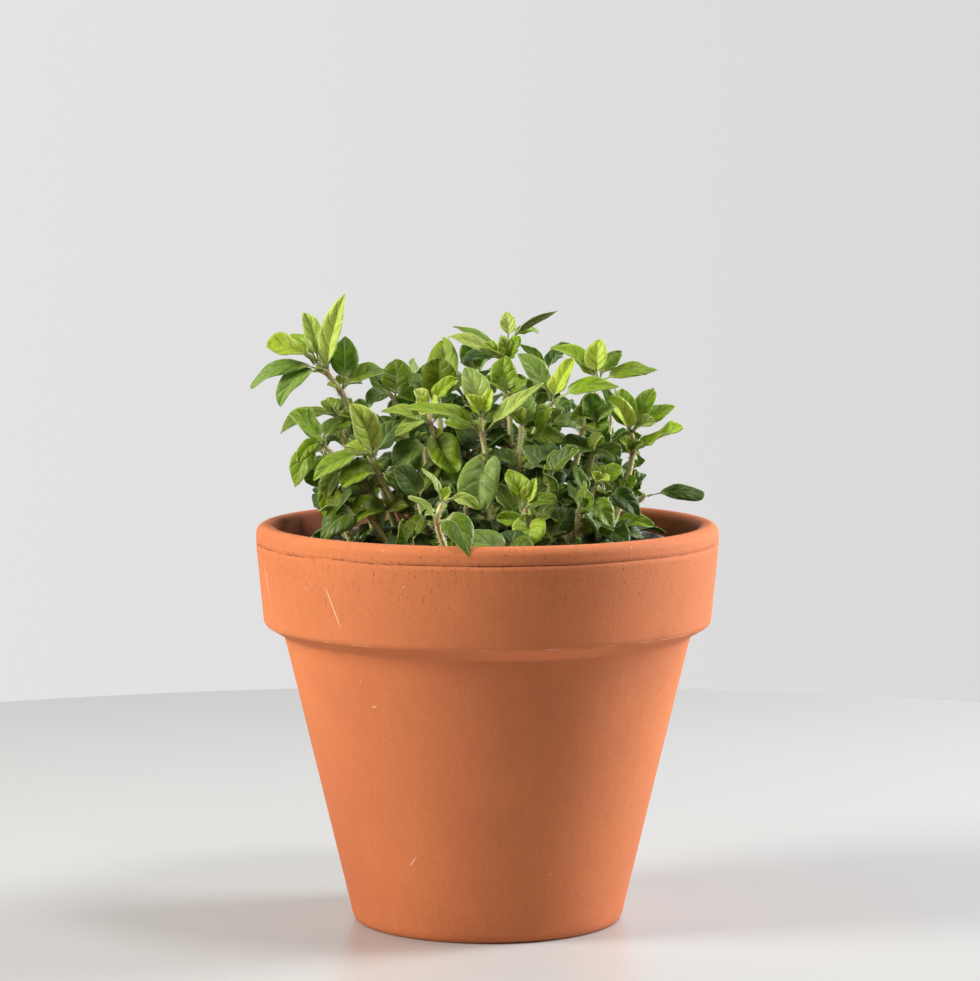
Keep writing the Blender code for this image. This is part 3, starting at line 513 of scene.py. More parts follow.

# %% [markdown]
# ## The plant's plan
#
# Oregano belongs to the mint family: its stems are square, its leaves stand in opposite pairs, and each
# pair is turned a quarter from the one below. The plan lists each sprig as a route from the soil to the tip
# in millimetres, then the leaves at some of its points: the way from node to leaf tip, the width and,
# unless the leaf is old, its youth, from 0 for the deepest green to 1 for a fresh tip. Inner and rear
# sprigs follow a growth rule instead; their low youth paints their leaves deep green, partly for age and
# partly as painted shade inside the plant.

# %% Sprig plan
SPRIGS = {
    "tall_left": ([(-26, 6), (-34, 4, 140), (-43, -1, 163), (-47.6, -3, 173), (-52, -4, 179),
        (-55, -5, 182.5)], {
        2: [(-8, -3, -2, 7, 0.3), (7, 8, 1, 8, 0.2)],
        3: [(14.5, 4, 6.5, 8.5, 0.28), (6, 12, 2, 7, 0.1), (1, 3, 17.5, 9, 0.22)],
        4: [(-15.2, -6, -9.4, 7, 0.42), (-24.6, -3, -3.6, 6, 0.45), (5.9, -4, 25.6, 9, 0.85),
            (-1.5, 5, 7, 4, 0.3)],
        5: [(-15.8, -2, 5.8, 9, 0.8), (-4.2, 2, 15.9, 8, 0.72), (-9.2, 9, 9, 5, 0.5)],
    }),
    "left_side": ([(-30, -3), (-39, -4, 140), (-46, -5, 148), (-53, -6, 156)], {
        1: [(-8, 5, -3, 7, 0.2), (7, 8, 3, 8, 0.1), (-9, -8, -2, 8, 0.3)],
        2: [(-6, -2, -9.3, 7, 0.55), (-11, -4, 1.4, 6, 0.38), (-5, 10, 4, 7, 0.2), (-7, 3, -16.8, 6, 0.35)],
        3: [(-10.4, -8, 10.6, 12, 0.52), (-9.2, -5, -13.2, 8, 0.38), (-7.5, -9, -4.6, 6, 0.5),
            (6, 4, 9, 6, 0.3)],
    }),
    "left_back": ([(-34, 14), (-42, 13, 142), (-47, 10, 156), (-49, 9, 164)], {
        1: [(-11, 6, 2, 9), (4, 12, 4, 9), (8, -4, 1, 8)],
        2: [(-7, 4, 0, 8, 0.2), (8, 6, 3, 9, 0.1)],
        3: [(-4, 5, 5.4, 7, 0.25), (4, 5, 5.5, 6, 0.2), (-18.5, -4, -4.6, 6, 0.32)],
    }),
    "front_left": ([(-19, -12), (-29, -13, 136), (-35, -14, 147), (-36.5, -15, 153)], {
        1: [(-20, -7, -7.5, 10, 0.3), (9, 6, 2, 8, 0.15)],
        2: [(-11.4, -7, -2.6, 9, 0.55), (9, -3, -6, 8, 0.2), (-12, 5, -8, 8, 0.28)],
        3: [(-6.6, -5, 16.9, 10.5, 0.84), (-19, -6, -6.6, 7.5, 0.5), (8, 3, 11, 8.5, 0.22),
            (-9.5, 2, 3.6, 4.5, 0.72)],
    }),
    "low_left": ([(-27, -16), (-32, -18, 125), (-38.5, -19, 134.5)], {
        1: [(-8, 10, 0, 7, 0.1), (7, 8, 1, 8, 0.1)],
        2: [(-14.5, -6, -7.4, 10, 0.15), (-11, 7, -3, 6, 0.2)],
    }),
    "centre_left": ([(-4, -8), (-9.5, -8, 134), (-14, -9, 146), (-16.5, -9, 157), (-18.5, -10, 163),
        (-18.5, -10, 168)], {
        1: [(-14, -5, 3, 10), (9, 5, 3, 9), (-3, -10, -3, 8)],
        2: [(-9, 6, -2, 9), (8, 6, 3, 9), (9, -5, -5, 8.5)],
        3: [(6, -8, -9.6, 12.5, 0.45), (-13.4, -5, -10.2, 9.5, 0.34)],
        4: [(-15.4, -5, 4.7, 5.5, 0.62), (-11, -8, -3.2, 6, 0.62), (9, 6, 2, 7, 0.4), (-7, 7, 5, 7, 0.7)],
        5: [(-4.8, 1, 6.2, 5, 0.88), (8.8, 2, 9.4, 7, 0.7), (2.5, -4, 2, 4.5, 0.95),
            (-4.5, -3, 1.5, 5, 0.9)],
    }),
    "centre": ([(2, -14), (1, -15, 132), (-0.2, -16, 151), (-1.8, -17, 160.3), (-2.2, -17, 166)], {
        1: [(10, -6, 6, 9), (-9, 6, 3, 9), (-12, -5, -2, 5.5), (1, -10, -3, 8)],
        2: [(-1.8, -8, -14.8, 14.5, 0.36), (4, 10, 2, 9, 0.2)],
        3: [(-24, -3, 9.3, 6.5, 0.55), (19.5, -2, 16.5, 6, 0.66), (-12, 4, 3.5, 6, 0.5)],
        4: [(-4.4, -3, 7, 5.5, 1.0), (3.4, -1, 8.6, 5, 1.0), (-5.2, 5, 15.2, 8.5, 0.6)],
    }),
    "upper_left": ([(-12, 3), (-14, 4, 135), (-15, 4, 155), (-16, 3, 171)], {
        1: [(-10, 4, 4, 10), (9, 6, 4, 10), (1, -11, 1, 9)],
        2: [(-12, -3, 3, 10, 0.2), (10, 5, 3, 10, 0.2), (2, -9, -4, 9, 0.2)],
        3: [(0.5, -3, 12.5, 13, 0.28), (1, 7, 18, 12.5, 0.7), (-9.5, 2, 7, 9, 0.34), (9, 4, 5, 7, 0.3)],
    }),
    "back_left": ([(-20, 12), (-25, 11, 140), (-28, 9, 157), (-30.4, 6, 170)], {
        1: [(-6, 11, 2, 10), (10, 4, 3, 10), (-4, -9, 0, 9)],
        2: [(-11, 5, 1, 9, 0.15), (8, 8, 4, 9, 0.2), (7, -6, -2, 8, 0.2)],
        3: [(0, 4, 12.5, 9.5, 0.27), (-8, 5, 9.5, 7, 0.2), (9, -4, 0, 7, 0.3), (-9, -4, -1, 6.5, 0.3)],
    }),
    "top_centre": ([(6, 8), (5, 9, 140), (5.5, 9, 162), (6.5, 8, 182), (7, 9, 189)], {
        1: [(-9, 7, 4, 10), (10, 5, 3, 10), (-2, -10, 1, 9)],
        2: [(10, 8, 4, 9, 0.2), (-11, 5, 4, 9, 0.2)],
        3: [(-17.5, 4, 11.6, 4, 0.45), (-19, -1, 8.8, 6.5, 0.72), (-2, -4, 8.5, 5.5, 0.75),
            (4, -5, 8.3, 6, 0.4), (-8.3, -5, 5, 6, 0.8), (-15.5, 7, -0.5, 7, 0.2)],
        4: [(-1, 3, 9.2, 5, 0.75), (16, 2, 9, 2.6, 0.4), (9.7, 5, 2.4, 4.5, 0.5)],
    }),
    "centre_high": ([(9, -2), (8, -4, 138), (7.5, -5, 155), (7, -6, 172)], {
        1: [(-9, -5, 3, 9), (9, 7, 2, 9)],
        2: [(9, -7, 1, 8, 0.25), (-8, 4, 4, 8, 0.2)],
        3: [(-1.8, 1, 12, 9, 0.55), (5, -5, 4, 7, 0.45), (5.5, 0, 5.5, 6.5, 0.75), (-8, -2, 5.5, 6, 0.5)],
    }),
    "centre_right": ([(8, -11), (10, -12, 148.6), (11, -12, 163)], {
        1: [(12.5, -4, 4.6, 11, 0.14), (-9.3, -5, 5, 8, 0.24), (8, 7, 0, 8, 0.1)],
        2: [(0, 3, 10, 9.5, 0.5), (-3.5, -3, 4, 5.5, 0.5), (5, 3, 3, 5, 0.4), (0.5, -3, 5.5, 5, 0.85)],
    }),
    "right_centre": ([(14, -6), (12.5, -7, 144), (13.8, -8, 157), (21, -8, 170)], {
        1: [(12, 4, 2, 9), (7, -9, 1, 9), (-7, -8, -3, 8)],
        2: [(11, -3, 1, 8, 0.3), (3, 10, 4, 9, 0.3), (9, -6, -4.5, 7, 0.2)],
        3: [(-11, 3, 15.6, 7.5, 0.48), (6.7, 2, 13.7, 7.5, 0.95), (20.8, -3, 5.6, 7, 0.55),
            (-4.6, -5, -9.6, 6, 0.45), (5, -3, -3, 6, 0.25)],
    }),
    "right_high": ([(22, 4), (28, 3, 145), (31, 2, 160), (36, 2, 176)], {
        1: [(11, 7, 3, 10), (-7, 9, 2, 9), (-3, -10, -1, 9)],
        2: [(7, -3, -2, 8, 0.2), (-9, -5, 3, 8, 0.3), (6, 8, 3, 8, 0.2)],
        3: [(0.2, 3, 13.3, 8.5, 0.88), (19.4, 3, 3.8, 6.5, 0.4), (7.8, 8, 8.8, 6.5, 0.28),
            (-15.5, 4, 11, 6, 0.6), (-8, 6, 8, 6, 0.25)],
    }),
    "right_mid": ([(27, -8), (31, -9, 138), (34, -9, 154), (35, -9, 163)], {
        1: [(-7, -9, 0, 10, 0.15), (8, 8, 2, 9, 0.1), (9, -3, 3, 9, 0.15)],
        2: [(-10, -5, 1, 9, 0.15), (7.5, -6, -2.6, 9, 0.1), (2.5, -4, 5.8, 7, 0.85)],
        3: [(-2.5, -2, 9.2, 10, 0.38), (5.5, -4, 5.4, 9, 0.45), (1, -6, -2, 8, 0.34), (-8, -5, 2, 7, 0.25)],
    }),
    "far_right": ([(34, -5), (40, -6, 129), (44.3, -6, 141), (47, -6, 153.5), (46.5, -6, 160)], {
        1: [(13.4, -5, 1.2, 7, 0.42), (-8, -5, 2, 7, 0.1), (-5, 8, 4, 8, 0.1)],
        2: [(6.8, 4, 5.3, 5.5, 0.2), (3.6, -3, 4, 6, 0.4), (-8, 3, 3, 7, 0.1)],
        3: [(16.2, -4, 7.4, 8.5, 0.85), (-4.5, -2, 4.5, 5.5, 0.7), (3, -4, 3, 4.5, 0.75),
            (2, 5, -5, 6, 0.2)],
        4: [(14, 3, 8.4, 7, 0.5), (7.3, 6, 14, 7, 0.32), (-7.4, -3, 11.2, 7.5, 0.9), (-3, 3, 14, 7.5, 0.6),
            (7.6, -3, 3.6, 6.5, 0.62), (-6, 7, 11, 6, 0.4)],
    }),
    "lone_leaf": ([(32, 6), (38, 4, 124), (44, 1, 132), (48, 0.5, 136), (51.5, 0, 139.2)], {
        1: [(4, 10, 2, 9, 0.1), (7, -6, 1, 8, 0.1)],
        2: [(3, 9, 2, 7, 0.15), (-8, 4, 6, 7, 0.15)],
        4: [(18.8, -2, 0.2, 5.2, 0.15)],
    }),
    "low_right": ([(36, -13), (37.5, -14, 126), (38.3, -14, 140.5)], {
        1: [(13, 4, 1, 9, 0.1), (7, -12, 0, 8, 0.1)],
        2: [(9.8, -5, -6.2, 8, 0.08), (-3, -7, 2, 6, 0.2), (-8, 3, 2, 7, 0.1)],
    }),
    "right_front": ([(22, -17), (27, -18, 131.5), (32, -19, 139), (35.5, -19, 144.5)], {
        1: [(-8, -6, 2, 9, 0.3), (6, -9, -2, 8, 0.2), (-9, 4, 3, 9, 0.1)],
        2: [(7.2, -6, -7.2, 8.5, 0.3), (-4.2, 3, 11, 5, 0.35), (-8, -3, 1, 7, 0.1)],
        3: [(-2.2, -2, 3.7, 4.5, 0.9), (7.2, 2, 5, 7, 0.5), (3, -5, 1.5, 4.5, 0.8), (0.8, 4, 5.6, 6, 0.3)],
    }),
    "front_right": ([(12, -28), (12.5, -31, 132.5), (12, -32, 138)], {
        1: [(0.3, -9, -5.6, 12, 0.6), (-9.4, -4, 2.3, 6, 0.4), (10, 5, 1, 8, 0.25)],
        2: [(-5.7, 3, 11.4, 8, 0.62), (3, 1, 9, 5.5, 1.0), (10, -4, 2, 7, 0.25)],
    }),
    "over_rim": ([(-10, -46), (-12.5, -52, 125), (-15.6, -60.5, 136.5), (-13.7, -62, 143)], {
        2: [(9.7, -14.5, -9, 9.5, 0.22), (-8.8, 6, 7, 7, 0.6)],
        3: [(-6.3, -1, 10.4, 4, 0.6), (11.2, -1, -2.4, 4.5, 0.75), (1.5, 1, 4.5, 3.5, 0.95)],
    }),
    "front_low": ([(4, -42), (6, -46, 124)], {
        1: [(-13.5, -3, 4, 12, 0.3), (8, -4, 3, 9, 0.12), (3, 6, 8, 8, 0.12)],
    }),
}

# Foot and tip of each inner sprig in millimetres, and the bearing of its lowest pair of leaves.
RULED = [
    ((-41, -8), (-47, -16, 133), 20), ((-22, -25), (-24, -28, 125), 65), ((-12, -24), (-15, -27, 130), 10),
    ((12, -20), (10, -25, 133), 80), ((20, -24), (21, -27, 126), 35), ((33, -19), (35, -22, 126), 60),
    ((42, 14), (46, 20, 136), 15), ((19, -6), (20, -20, 147), 75), ((-44, 14), (-54, 22, 150), 40),
    ((-34, 32), (-42, 42, 157), 70), ((-19, 30), (-22, 38, 170), 25), ((-10, 44), (-10, 56, 158), 5),
    ((-2, 24), (-3, 27, 176), 50), ((10, 42), (14, 53, 163), 75), ((16, 18), (19, 24, 177), 20),
    ((34, 20), (41, 27, 162), 85), ((35, 31), (43, 39, 148), 30), ((-18, -17), (-22, -19, 139), 30),
    ((-6, -18), (-7, -18, 138), 70), ((26, -24), (29, -27, 136), 20), ((-33, -8), (-38, -10, 142), 50),
    ((-24, -2), (-25, -3, 153), 15), ((-6, 12), (-7, 13, 168), 75), ((-1, -1), (-1, -2, 158), 50),
    ((14, 4), (15, 4, 166), 60), ((28, 12), (31, 13, 161), 45),
]
RULE_SPACING = 8.5  # millimetres of stem between pairs
RULE_FIRST_PAIR = 8.0
RULE_LEAF = 15.5
RULE_SEED = 7
RULE_BOW = 0.06  # of the sprig's length
RULE_SIZES = (0.72, 0.35)  # shares of the leaf's length: of any leaf, and added by growth
RULE_LIFTS = (50, 45)  # degrees: the rise of the youngest pair, and the oldest pair's loss of it
RULE_WIDTHS = (0.55, 0.75)
# Painted shade: inner sprigs' leaves get a low youth, which paints them deep green, partly for their age and
# partly for the shade inside the plant.
RULE_YOUTH = 0.16
YOUTH_STEP = 0.1
print(len(SPRIGS), "planned sprigs,", len(RULED), "ruled sprigs")


# %% Growth rule
def ruled_sprig(foot, tip, bearing, rng):
    """Route and leaves of a sprig that follows the growth rule: crossed pairs, larger and flatter below."""
    start, end = Vector((*foot, MIX_TOP / MM)), Vector(tip)
    length = (end - start).length
    pairs = 1 + int((length - RULE_FIRST_PAIR) / RULE_SPACING)
    route, leaves = [foot], {}
    for pair in range(pairs):
        share = (RULE_FIRST_PAIR + RULE_SPACING * pair) / length
        share = min(share, 1.0) if pair < pairs - 1 else 1.0
        bow = Vector((0, 0, 1)) * (RULE_BOW * length * math.sin(math.pi * share))
        route.append(tuple(start.lerp(end, share) + bow))
        below = pairs - 1 - pair
        age = below / max(pairs - 1, 1)
        growth = math.sin(math.pi * (0.15 + 0.6 * age)) * rng.uniform(0.85, 1.1)
        size = RULE_LEAF * (RULE_SIZES[0] + RULE_SIZES[1] * growth)
        lift = math.radians(RULE_LIFTS[0] - RULE_LIFTS[1] * age + rng.uniform(-8, 8))
        turn = math.radians(bearing + 90 * pair + rng.uniform(-12, 12))
        leaves[pair + 1] = []
        for side in (0, math.pi):
            level = Vector((math.cos(turn + side), math.sin(turn + side), 0)) * math.cos(lift)
            way = (level + Vector((0, 0, math.sin(lift)))) * (size * rng.uniform(0.9, 1.1))
            width = size * rng.uniform(*RULE_WIDTHS)
            leaves[pair + 1].append((*way, width, RULE_YOUTH - YOUTH_STEP * below))
    return route, leaves


plants = dict(SPRIGS)
rule_rng = random.Random(RULE_SEED)
for number, rule in enumerate(RULED, 1):
    plants[f"inner_{number:02}"] = ruled_sprig(*rule, rule_rng)
print(len(plants), "sprigs in all")

# %% [markdown]
# ## Leaf and stem finishes
#
# A leaf's upper side is deep green when old and yellow-green when young, with a pale midrib and a pale
# margin with fine hairs, whose paleness is partly a painted glow of light through the thin edge. Its sunken
# side veins are painted darker, as painted shade, and some leaves wear a painted greyish-green sheen. The
# lower side is paler and duller with raised veins. Light passes through the thin blade, which is what makes
# young leaves glow. Each leaf carries its age as an attribute, on inner sprigs partly painted shade, and its
# UV map runs across the blade and from stalk to tip, so that the veins follow the leaf however it is bent.


# %% Leaf finishes
VEIN_PAIRS = 4.6


def vein_masks(leaf, place):
    """The midrib, the side veins, the quilting between them and the margin of a leaf, from its UV map."""
    u, along = leaf.uv("leaf")
    signed = leaf.times(leaf.less(u, 0.5), 2.0)
    across = leaf.math("ABSOLUTE", signed)
    midrib = leaf.ramp(across, 0.02, 0.08, 1.0, 0.0)
    wander = leaf.less(leaf.noise(place, 220, 2, 0.5), 0.5)
    sweep = leaf.less(along, leaf.times(leaf.math("POWER", across, 1.15), 0.27))
    sweep = leaf.math("ADD", sweep, leaf.times(wander, 0.14))
    sweep = leaf.math("ADD", sweep, leaf.times(leaf.math("GREATER_THAN", signed, 0.0), 0.06))
    beside = leaf.away(leaf.math("FRACT", leaf.times(sweep, VEIN_PAIRS)), 0.5)
    side = leaf.times(leaf.ramp(beside, 0.015, 0.085, 1.0, 0.0), leaf.ramp(across, 0.6, 0.95, 1.0, 0.0))
    quilt = leaf.times(leaf.ramp(beside, 0.0, 0.32), leaf.ramp(across, 0.0, 0.25))
    return midrib, side, quilt, leaf.ramp(across, 0.95, 0.99)


def leaf_finish(name, dull, mid, bright, vein, vein_strength, roughness, relief):
    leaf = Finish(name, roughness)
    place = leaf.place()
    midrib, side, quilt, margin = vein_masks(leaf, place)
    age, tone = leaf.attribute("youth"), leaf.attribute("tone")
    blotch = leaf.less(leaf.noise(place, 260, 3, 0.6), 0.5)
    youth = leaf.math("ADD", age, leaf.times(blotch, 0.30), True)
    colour = leaf.mix(leaf.ramp(youth, 0.0, 0.5), dull, mid)
    colour = leaf.mix(leaf.ramp(youth, 0.45, 1.0), colour, bright)
    # By its tone a leaf wears a painted greyish-green sheen, paler when young, that stands for the sky's
    # soft reflection on its upper side; a low tone leans it to olive, and past 1.5 it has browned.
    sheen_tone = leaf.ramp(tone, 0.5, 0.9)
    sheen_share = leaf.times(leaf.ramp(age, 0.0, 0.35, 0.12, 0.40), leaf.ramp(age, 0.5, 0.9, 1.0, 0.3))
    colour = leaf.coat(colour, sheen_tone, sheen_share, SHEEN_GREY_GREEN)
    colour = leaf.coat(colour, sheen_tone, leaf.ramp(age, 0.4, 0.85, 0.0, 0.45), PALE_SHEEN)
    warm = leaf.ramp(age, 0.1, 0.5, 0.75, 0.14)
    colour = leaf.coat(colour, leaf.ramp(tone, 0.4, 0.0), warm, OLIVE_LEAF)
    colour = leaf.mix(leaf.ramp(tone, 1.5, 1.8, 0.0, 0.8), colour, BROWNED_LEAF)
    clouds = leaf.patches(place, 420, 3, 0.7, 0.3, 0.7, 0.25, -0.12)
    colour = leaf.mix(leaf.math("MAXIMUM", clouds, 0.0), colour, dull)
    # Painted shade: the sunken side veins are painted darker than the blade between them, standing for the
    # shade in their grooves; the midrib is pale down its middle.
    shade = leaf.mix(leaf.ramp(age, 0.2, 1.1), dull, mid)
    colour = leaf.coat(colour, side, leaf.ramp(age, 0.2, 0.95, 0.5, 0.95), shade)
    colour = leaf.coat(colour, midrib, leaf.ramp(age, 0.45, 0.8, vein_strength, vein_strength * 0.5), vein)
    # The pale margin is partly the leaf's fine hairs and partly a painted glow of light through its thin
    # edge.
    hairs_and_glow = leaf.patches(place, 500, 2, 0.5, 0.35, 0.65, 0.2, 0.8)
    colour = leaf.coat(colour, margin, hairs_and_glow, (0.42, 0.52, 0.26))
    colour = leaf.coat(colour, leaf.attribute("stalk"), 0.8, (0.54, 0.56, 0.25))
    rough = leaf.patches(place, 700, 2, 0.5, 0.3, 0.7, roughness - 0.07, roughness + 0.1)
    height = leaf.times(leaf.less(quilt, leaf.times(midrib, 0.6)), relief)
    normal = leaf.bump(height, 0.45, 0.0004)
    normal = leaf.bump(leaf.noise(place, 1100, 3, 0.6), 0.25, 0.0003, normal)
    return leaf.end(
        colour,
        Roughness=rough,
        Normal=normal,
        Subsurface_Weight=0.25,
        Subsurface_Radius=(0.55, 1.0, 0.12),
        Subsurface_Scale=0.0014,
        Sheen_Weight=0.03,
        Sheen_Roughness=0.4,
        Sheen_Tint=(0.85, 0.95, 0.7),
        Specular_IOR_Level=0.32,
    )


# Painted sheen colours, greyish green and pale, then the olive and browned leaf colours.
SHEEN_GREY_GREEN, PALE_SHEEN = (0.165, 0.260, 0.115), (0.64, 0.68, 0.22)
OLIVE_LEAF, BROWNED_LEAF = (0.190, 0.215, 0.003), (0.20, 0.13, 0.06)
# Dull, middling and bright blade, midrib and its strength, roughness, and 1 for sunken veins, -1 for raised.
LEAF_TOP = leaf_finish(
    "leaf_upper_side", (0.024, 0.054, 0.001), (0.235, 0.350, 0.008), (0.53, 0.63, 0.060),
    (0.34, 0.46, 0.12), 0.40, 0.46, 1.0
)
LEAF_UNDER = leaf_finish(
    "leaf_lower_side", (0.085, 0.14, 0.025), (0.27, 0.37, 0.07), (0.52, 0.60, 0.09),
    (0.48, 0.56, 0.26), 0.75, 0.55, -1.0
)
print("finishes:", LEAF_TOP.name, LEAF_UNDER.name)


# %% Stem finish
def stem_finish():
    stem = Finish("stem", 0.6)
    place = stem.place()
    mottled = stem.patches(place, 300, 3, 0.6, 0.35, 0.65)
    colour = stem.mix(mottled, (0.68, 0.66, 0.25), (0.88, 0.82, 0.43))
    colour = stem.coat(colour, stem.attribute("wood"), 0.6, (0.36, 0.25, 0.12))
    patchy = stem.patches(place, 120, 2, 0.5, 0.3, 0.6, 0.25, 0.85)
    colour = stem.coat(colour, stem.attribute("flush"), patchy, (0.34, 0.12, 0.07))
    return stem.end(
        colour,
        Normal=stem.bump(stem.noise(stem.place((1, 1, 0.3)), 900, 3, 0.6), 0.3, 0.0003),
        Subsurface_Weight=0.15,
        Subsurface_Radius=(0.6, 1.0, 0.3),
        Subsurface_Scale=0.001,
    )


def hair_finish():
    hair = Finish("stem_hairs", 0.5)
    tone = hair.patches(hair.place(), 500, 2, 0.5, 0.3, 0.7)
    return hair.end(hair.mix(tone, (0.70, 0.72, 0.45), (0.90, 0.90, 0.68)))


STEM = stem_finish()
HAIR = hair_finish()
print("finishes:", STEM.name, HAIR.name)

# %% [markdown]
# ## Growing a leaf
#
# A leaf starts as a flat grid. Its rows are placed along a bent midrib, its width follows an egg-shaped
# outline that closes at the tip, and its two halves fold up from the midrib and curl over at the margin. A
# Solidify modifier gives the blade its thickness and puts the pale finish on the lower side.

# %% Leaf mesh
# Columns across a leaf and shares of the blade's length: the planned leaves are finer than the many others.
STALK_ROWS = 2
FINE_LEAF = (8, (0.0, 0.05, 0.12, 0.21, 0.31, 0.42, 0.53, 0.64, 0.74, 0.83, 0.90, 0.96, 1.0))
PLAIN_LEAF = (6, (0.0, 0.08, 0.22, 0.40, 0.60, 0.80, 0.93, 1.0))
PAINTED_STALK = 0.18  # share of the UV map that the stalk takes
BLADE_THICKNESS = 0.00028
TO_LIGHT = Vector((-0.1, -0.8, 1.0)).normalized()


def outline(share, base, tip):
    """Half width of the blade at a share of its length, 1 at the widest; the powers round each end."""
    widest = base / (base + tip)
    full = widest**base * (1 - widest) ** tip
    return share**base * (1 - share) ** tip / full


def upper_side(axis, roll, light):
    """The way a leaf's upper side faces: to its light, turned by the roll about the axis."""
    up = (light - axis * axis.dot(light)).normalized()
    return Matrix.Rotation(math.radians(roll), 3, axis) @ up


def row_shares(stalk, blade_rows):
    """The rows' shares of the leaf's length: the stalk takes its share of it and the blade the rest."""
    rows = [stalk * row / STALK_ROWS for row in range(STALK_ROWS)]
    return rows + [stalk + (1 - stalk) * share for share in blade_rows]


def grow_leaf(bm, layers, root, way, width, youth, rng, own):
    """Adds one leaf to the bmesh; lengths are in millimetres. Its own habits replace the drawn ones."""
    axis, length = way.normalized(), way.length
    broad = min(width / length, 1.0)
    upright = max(0.0, axis.z)
    habit = SimpleNamespace(
        arch=rng.uniform(0.13, 0.24) * (1 - 0.75 * upright),
        skew=rng.uniform(0.75, 1.05),
        droop=rng.uniform(0.0, 0.9),
        stalk=rng.uniform(0.12, 0.24),
        fold=rng.uniform(8, 24) + 16 * youth + 12 * broad,
        curl=rng.uniform(0.15, 0.42) * (1.1 - 0.6 * youth),
        wave=rng.uniform(0.03, 0.11),
        phase=rng.uniform(0, 6.28),
        sway=rng.uniform(-0.07, 0.07),
        lobes=0.16 * min(1.0, max(0.0, (broad - 0.6) / 0.25)),
        tip=0.90 - 0.40 * broad,
        girth=1.0,
        tone=rng.random(),
        roll=0,
        light=TO_LIGHT,
        grid=FINE_LEAF,
    )
    ripple = Vector((rng.uniform(0, 99), rng.uniform(0, 99), 0))
    vars(habit).update(own)
    up = upper_side(axis, habit.roll, habit.light)
    side_axis = axis.cross(up)
    bow = (up + (Vector((0, 0, 1)) - axis * axis.z)).normalized()
    stalk, (columns, blade_rows) = habit.stalk, habit.grid
    rows, painted = row_shares(stalk, blade_rows), row_shares(PAINTED_STALK, blade_rows)
    made = bmesh.ops.create_grid(bm, x_segments=columns, y_segments=len(rows) - 1, size=0.5, calc_uvs=False)

    def midrib(share):
        rise = habit.arch * length * math.sin(math.pi * max(share, 0.0) ** habit.skew)
        fall = habit.droop * length * max(0.0, share - 0.72) ** 2
        drift = habit.sway * length * math.sin(math.pi * share)
        return root + way * share + bow * rise - up * fall + side_axis * drift

    places = {}
    for vert in made["verts"]:
        across = vert.co.x * 2
        row = round((vert.co.y + 0.5) * (len(rows) - 1))
        share = rows[row]
        places[vert] = ((across + 1) / 2, painted[row])
        centre = midrib(share)
        along = (midrib(min(share + 0.03, 1.03)) - midrib(share - 0.03)).normalized()
        over = (up - along * up.dot(along)).normalized()
        sideways = along.cross(over)
        blade = max(0.0, (share - stalk) / (1 - stalk))
        half = 0.56 * habit.girth * width * outline(min(blade, 0.995), 0.50 - 0.08 * broad, habit.tip)
        half = max(half, 0.38 if share < 0.5 else 0.05)
        half *= 1 + 0.13 * noise.noise(ripple + Vector((3.5 * share, 9.0 if across > 0 else 4.0, 0)))
        lift = math.radians(habit.fold + 28 * max(0.0, 1 - blade * 5))
        reach = across * half * math.cos(lift)
        height = abs(across) * half * math.sin(lift) - habit.curl * half * across * across
        swing = math.sin(9 * share + habit.phase + (1.7 if across > 0 else 0))
        height += habit.wave * width * across * across * swing
        height += 0.07 * width * noise.noise(ripple + Vector((4.5 * share, 1.4 * across, 3.0)))
        if share > stalk - 0.01:
            centre -= along * (habit.lobes * length * across * across * max(0.0, 1 - blade * 2.6))
        vert.co = (centre + sideways * reach + over * height) * MM
        vert[layers["youth"]] = youth
        vert[layers["tone"]] = habit.tone
        vert[layers["stalk"]] = 1.0 if share < stalk else max(0.0, 1 - (share - stalk) * 9)
    for face in {face for vert in made["verts"] for face in vert.link_faces}:
        for loop in face.loops:
            loop[layers["uv"]].uv = places[loop.vert]


def leaf_layers(bm):
    """Attributes: age (on inner sprigs partly painted shade), own tone, nearness to the stalk, and the UV
    map.
    """
    layers = {name: bm.verts.layers.float.new(name) for name in ("youth", "tone", "stalk")}
    layers["uv"] = bm.loops.layers.uv.new("leaf")
    return layers


for kind, (columns, rows) in {"planned": FINE_LEAF, "ruled": PLAIN_LEAF}.items():
    print("a", kind, "leaf has", columns * (STALK_ROWS + len(rows) - 1), "faces a side")

# %% [markdown]
# ## Growing a stem
#
# The stem is a ring of eight points, pressed towards a square, extruded from station to station along a
# smooth curve through the sprig's route. It swells and blushes at each node. Short hairs, which oregano's
# young stems wear, are thin three-sided cones set square to the stem.

# %% Stem mesh
STEM_SIDE, STEM_TIP_SIDE = 2.4, 1.5
STATION = 1.6
HAIR_RADII, HAIR_LENGTHS = (0.10, 0.035), (0.7, 1.4)


def smooth_route(points):
    """Points about a station apart on a Catmull-Rom curve through the route."""
    ends = [points[0] * 2 - points[1], *points, points[-1] * 2 - points[-2]]
    path = []
    for a, b, c, d in zip(ends, ends[1:], ends[2:], ends[3:]):
        steps = max(1, round((c - b).length / STATION))
        for step in range(steps):
            t = step / steps
            bend, twist = 2 * a - 5 * b + 4 * c - d, 3 * b - a - 3 * c + d
            path.append(0.5 * (2 * b + (c - a) * t + bend * t * t + twist * t**3))
    path.append(points[-1])
    return path


def ring_frame(tangent):
    across = tangent.cross(Vector((0, 1, 0))).normalized()
    return across, tangent.cross(across).normalized()


def stem_half(share):
    return (STEM_SIDE + (STEM_TIP_SIDE - STEM_SIDE) * share) / 2


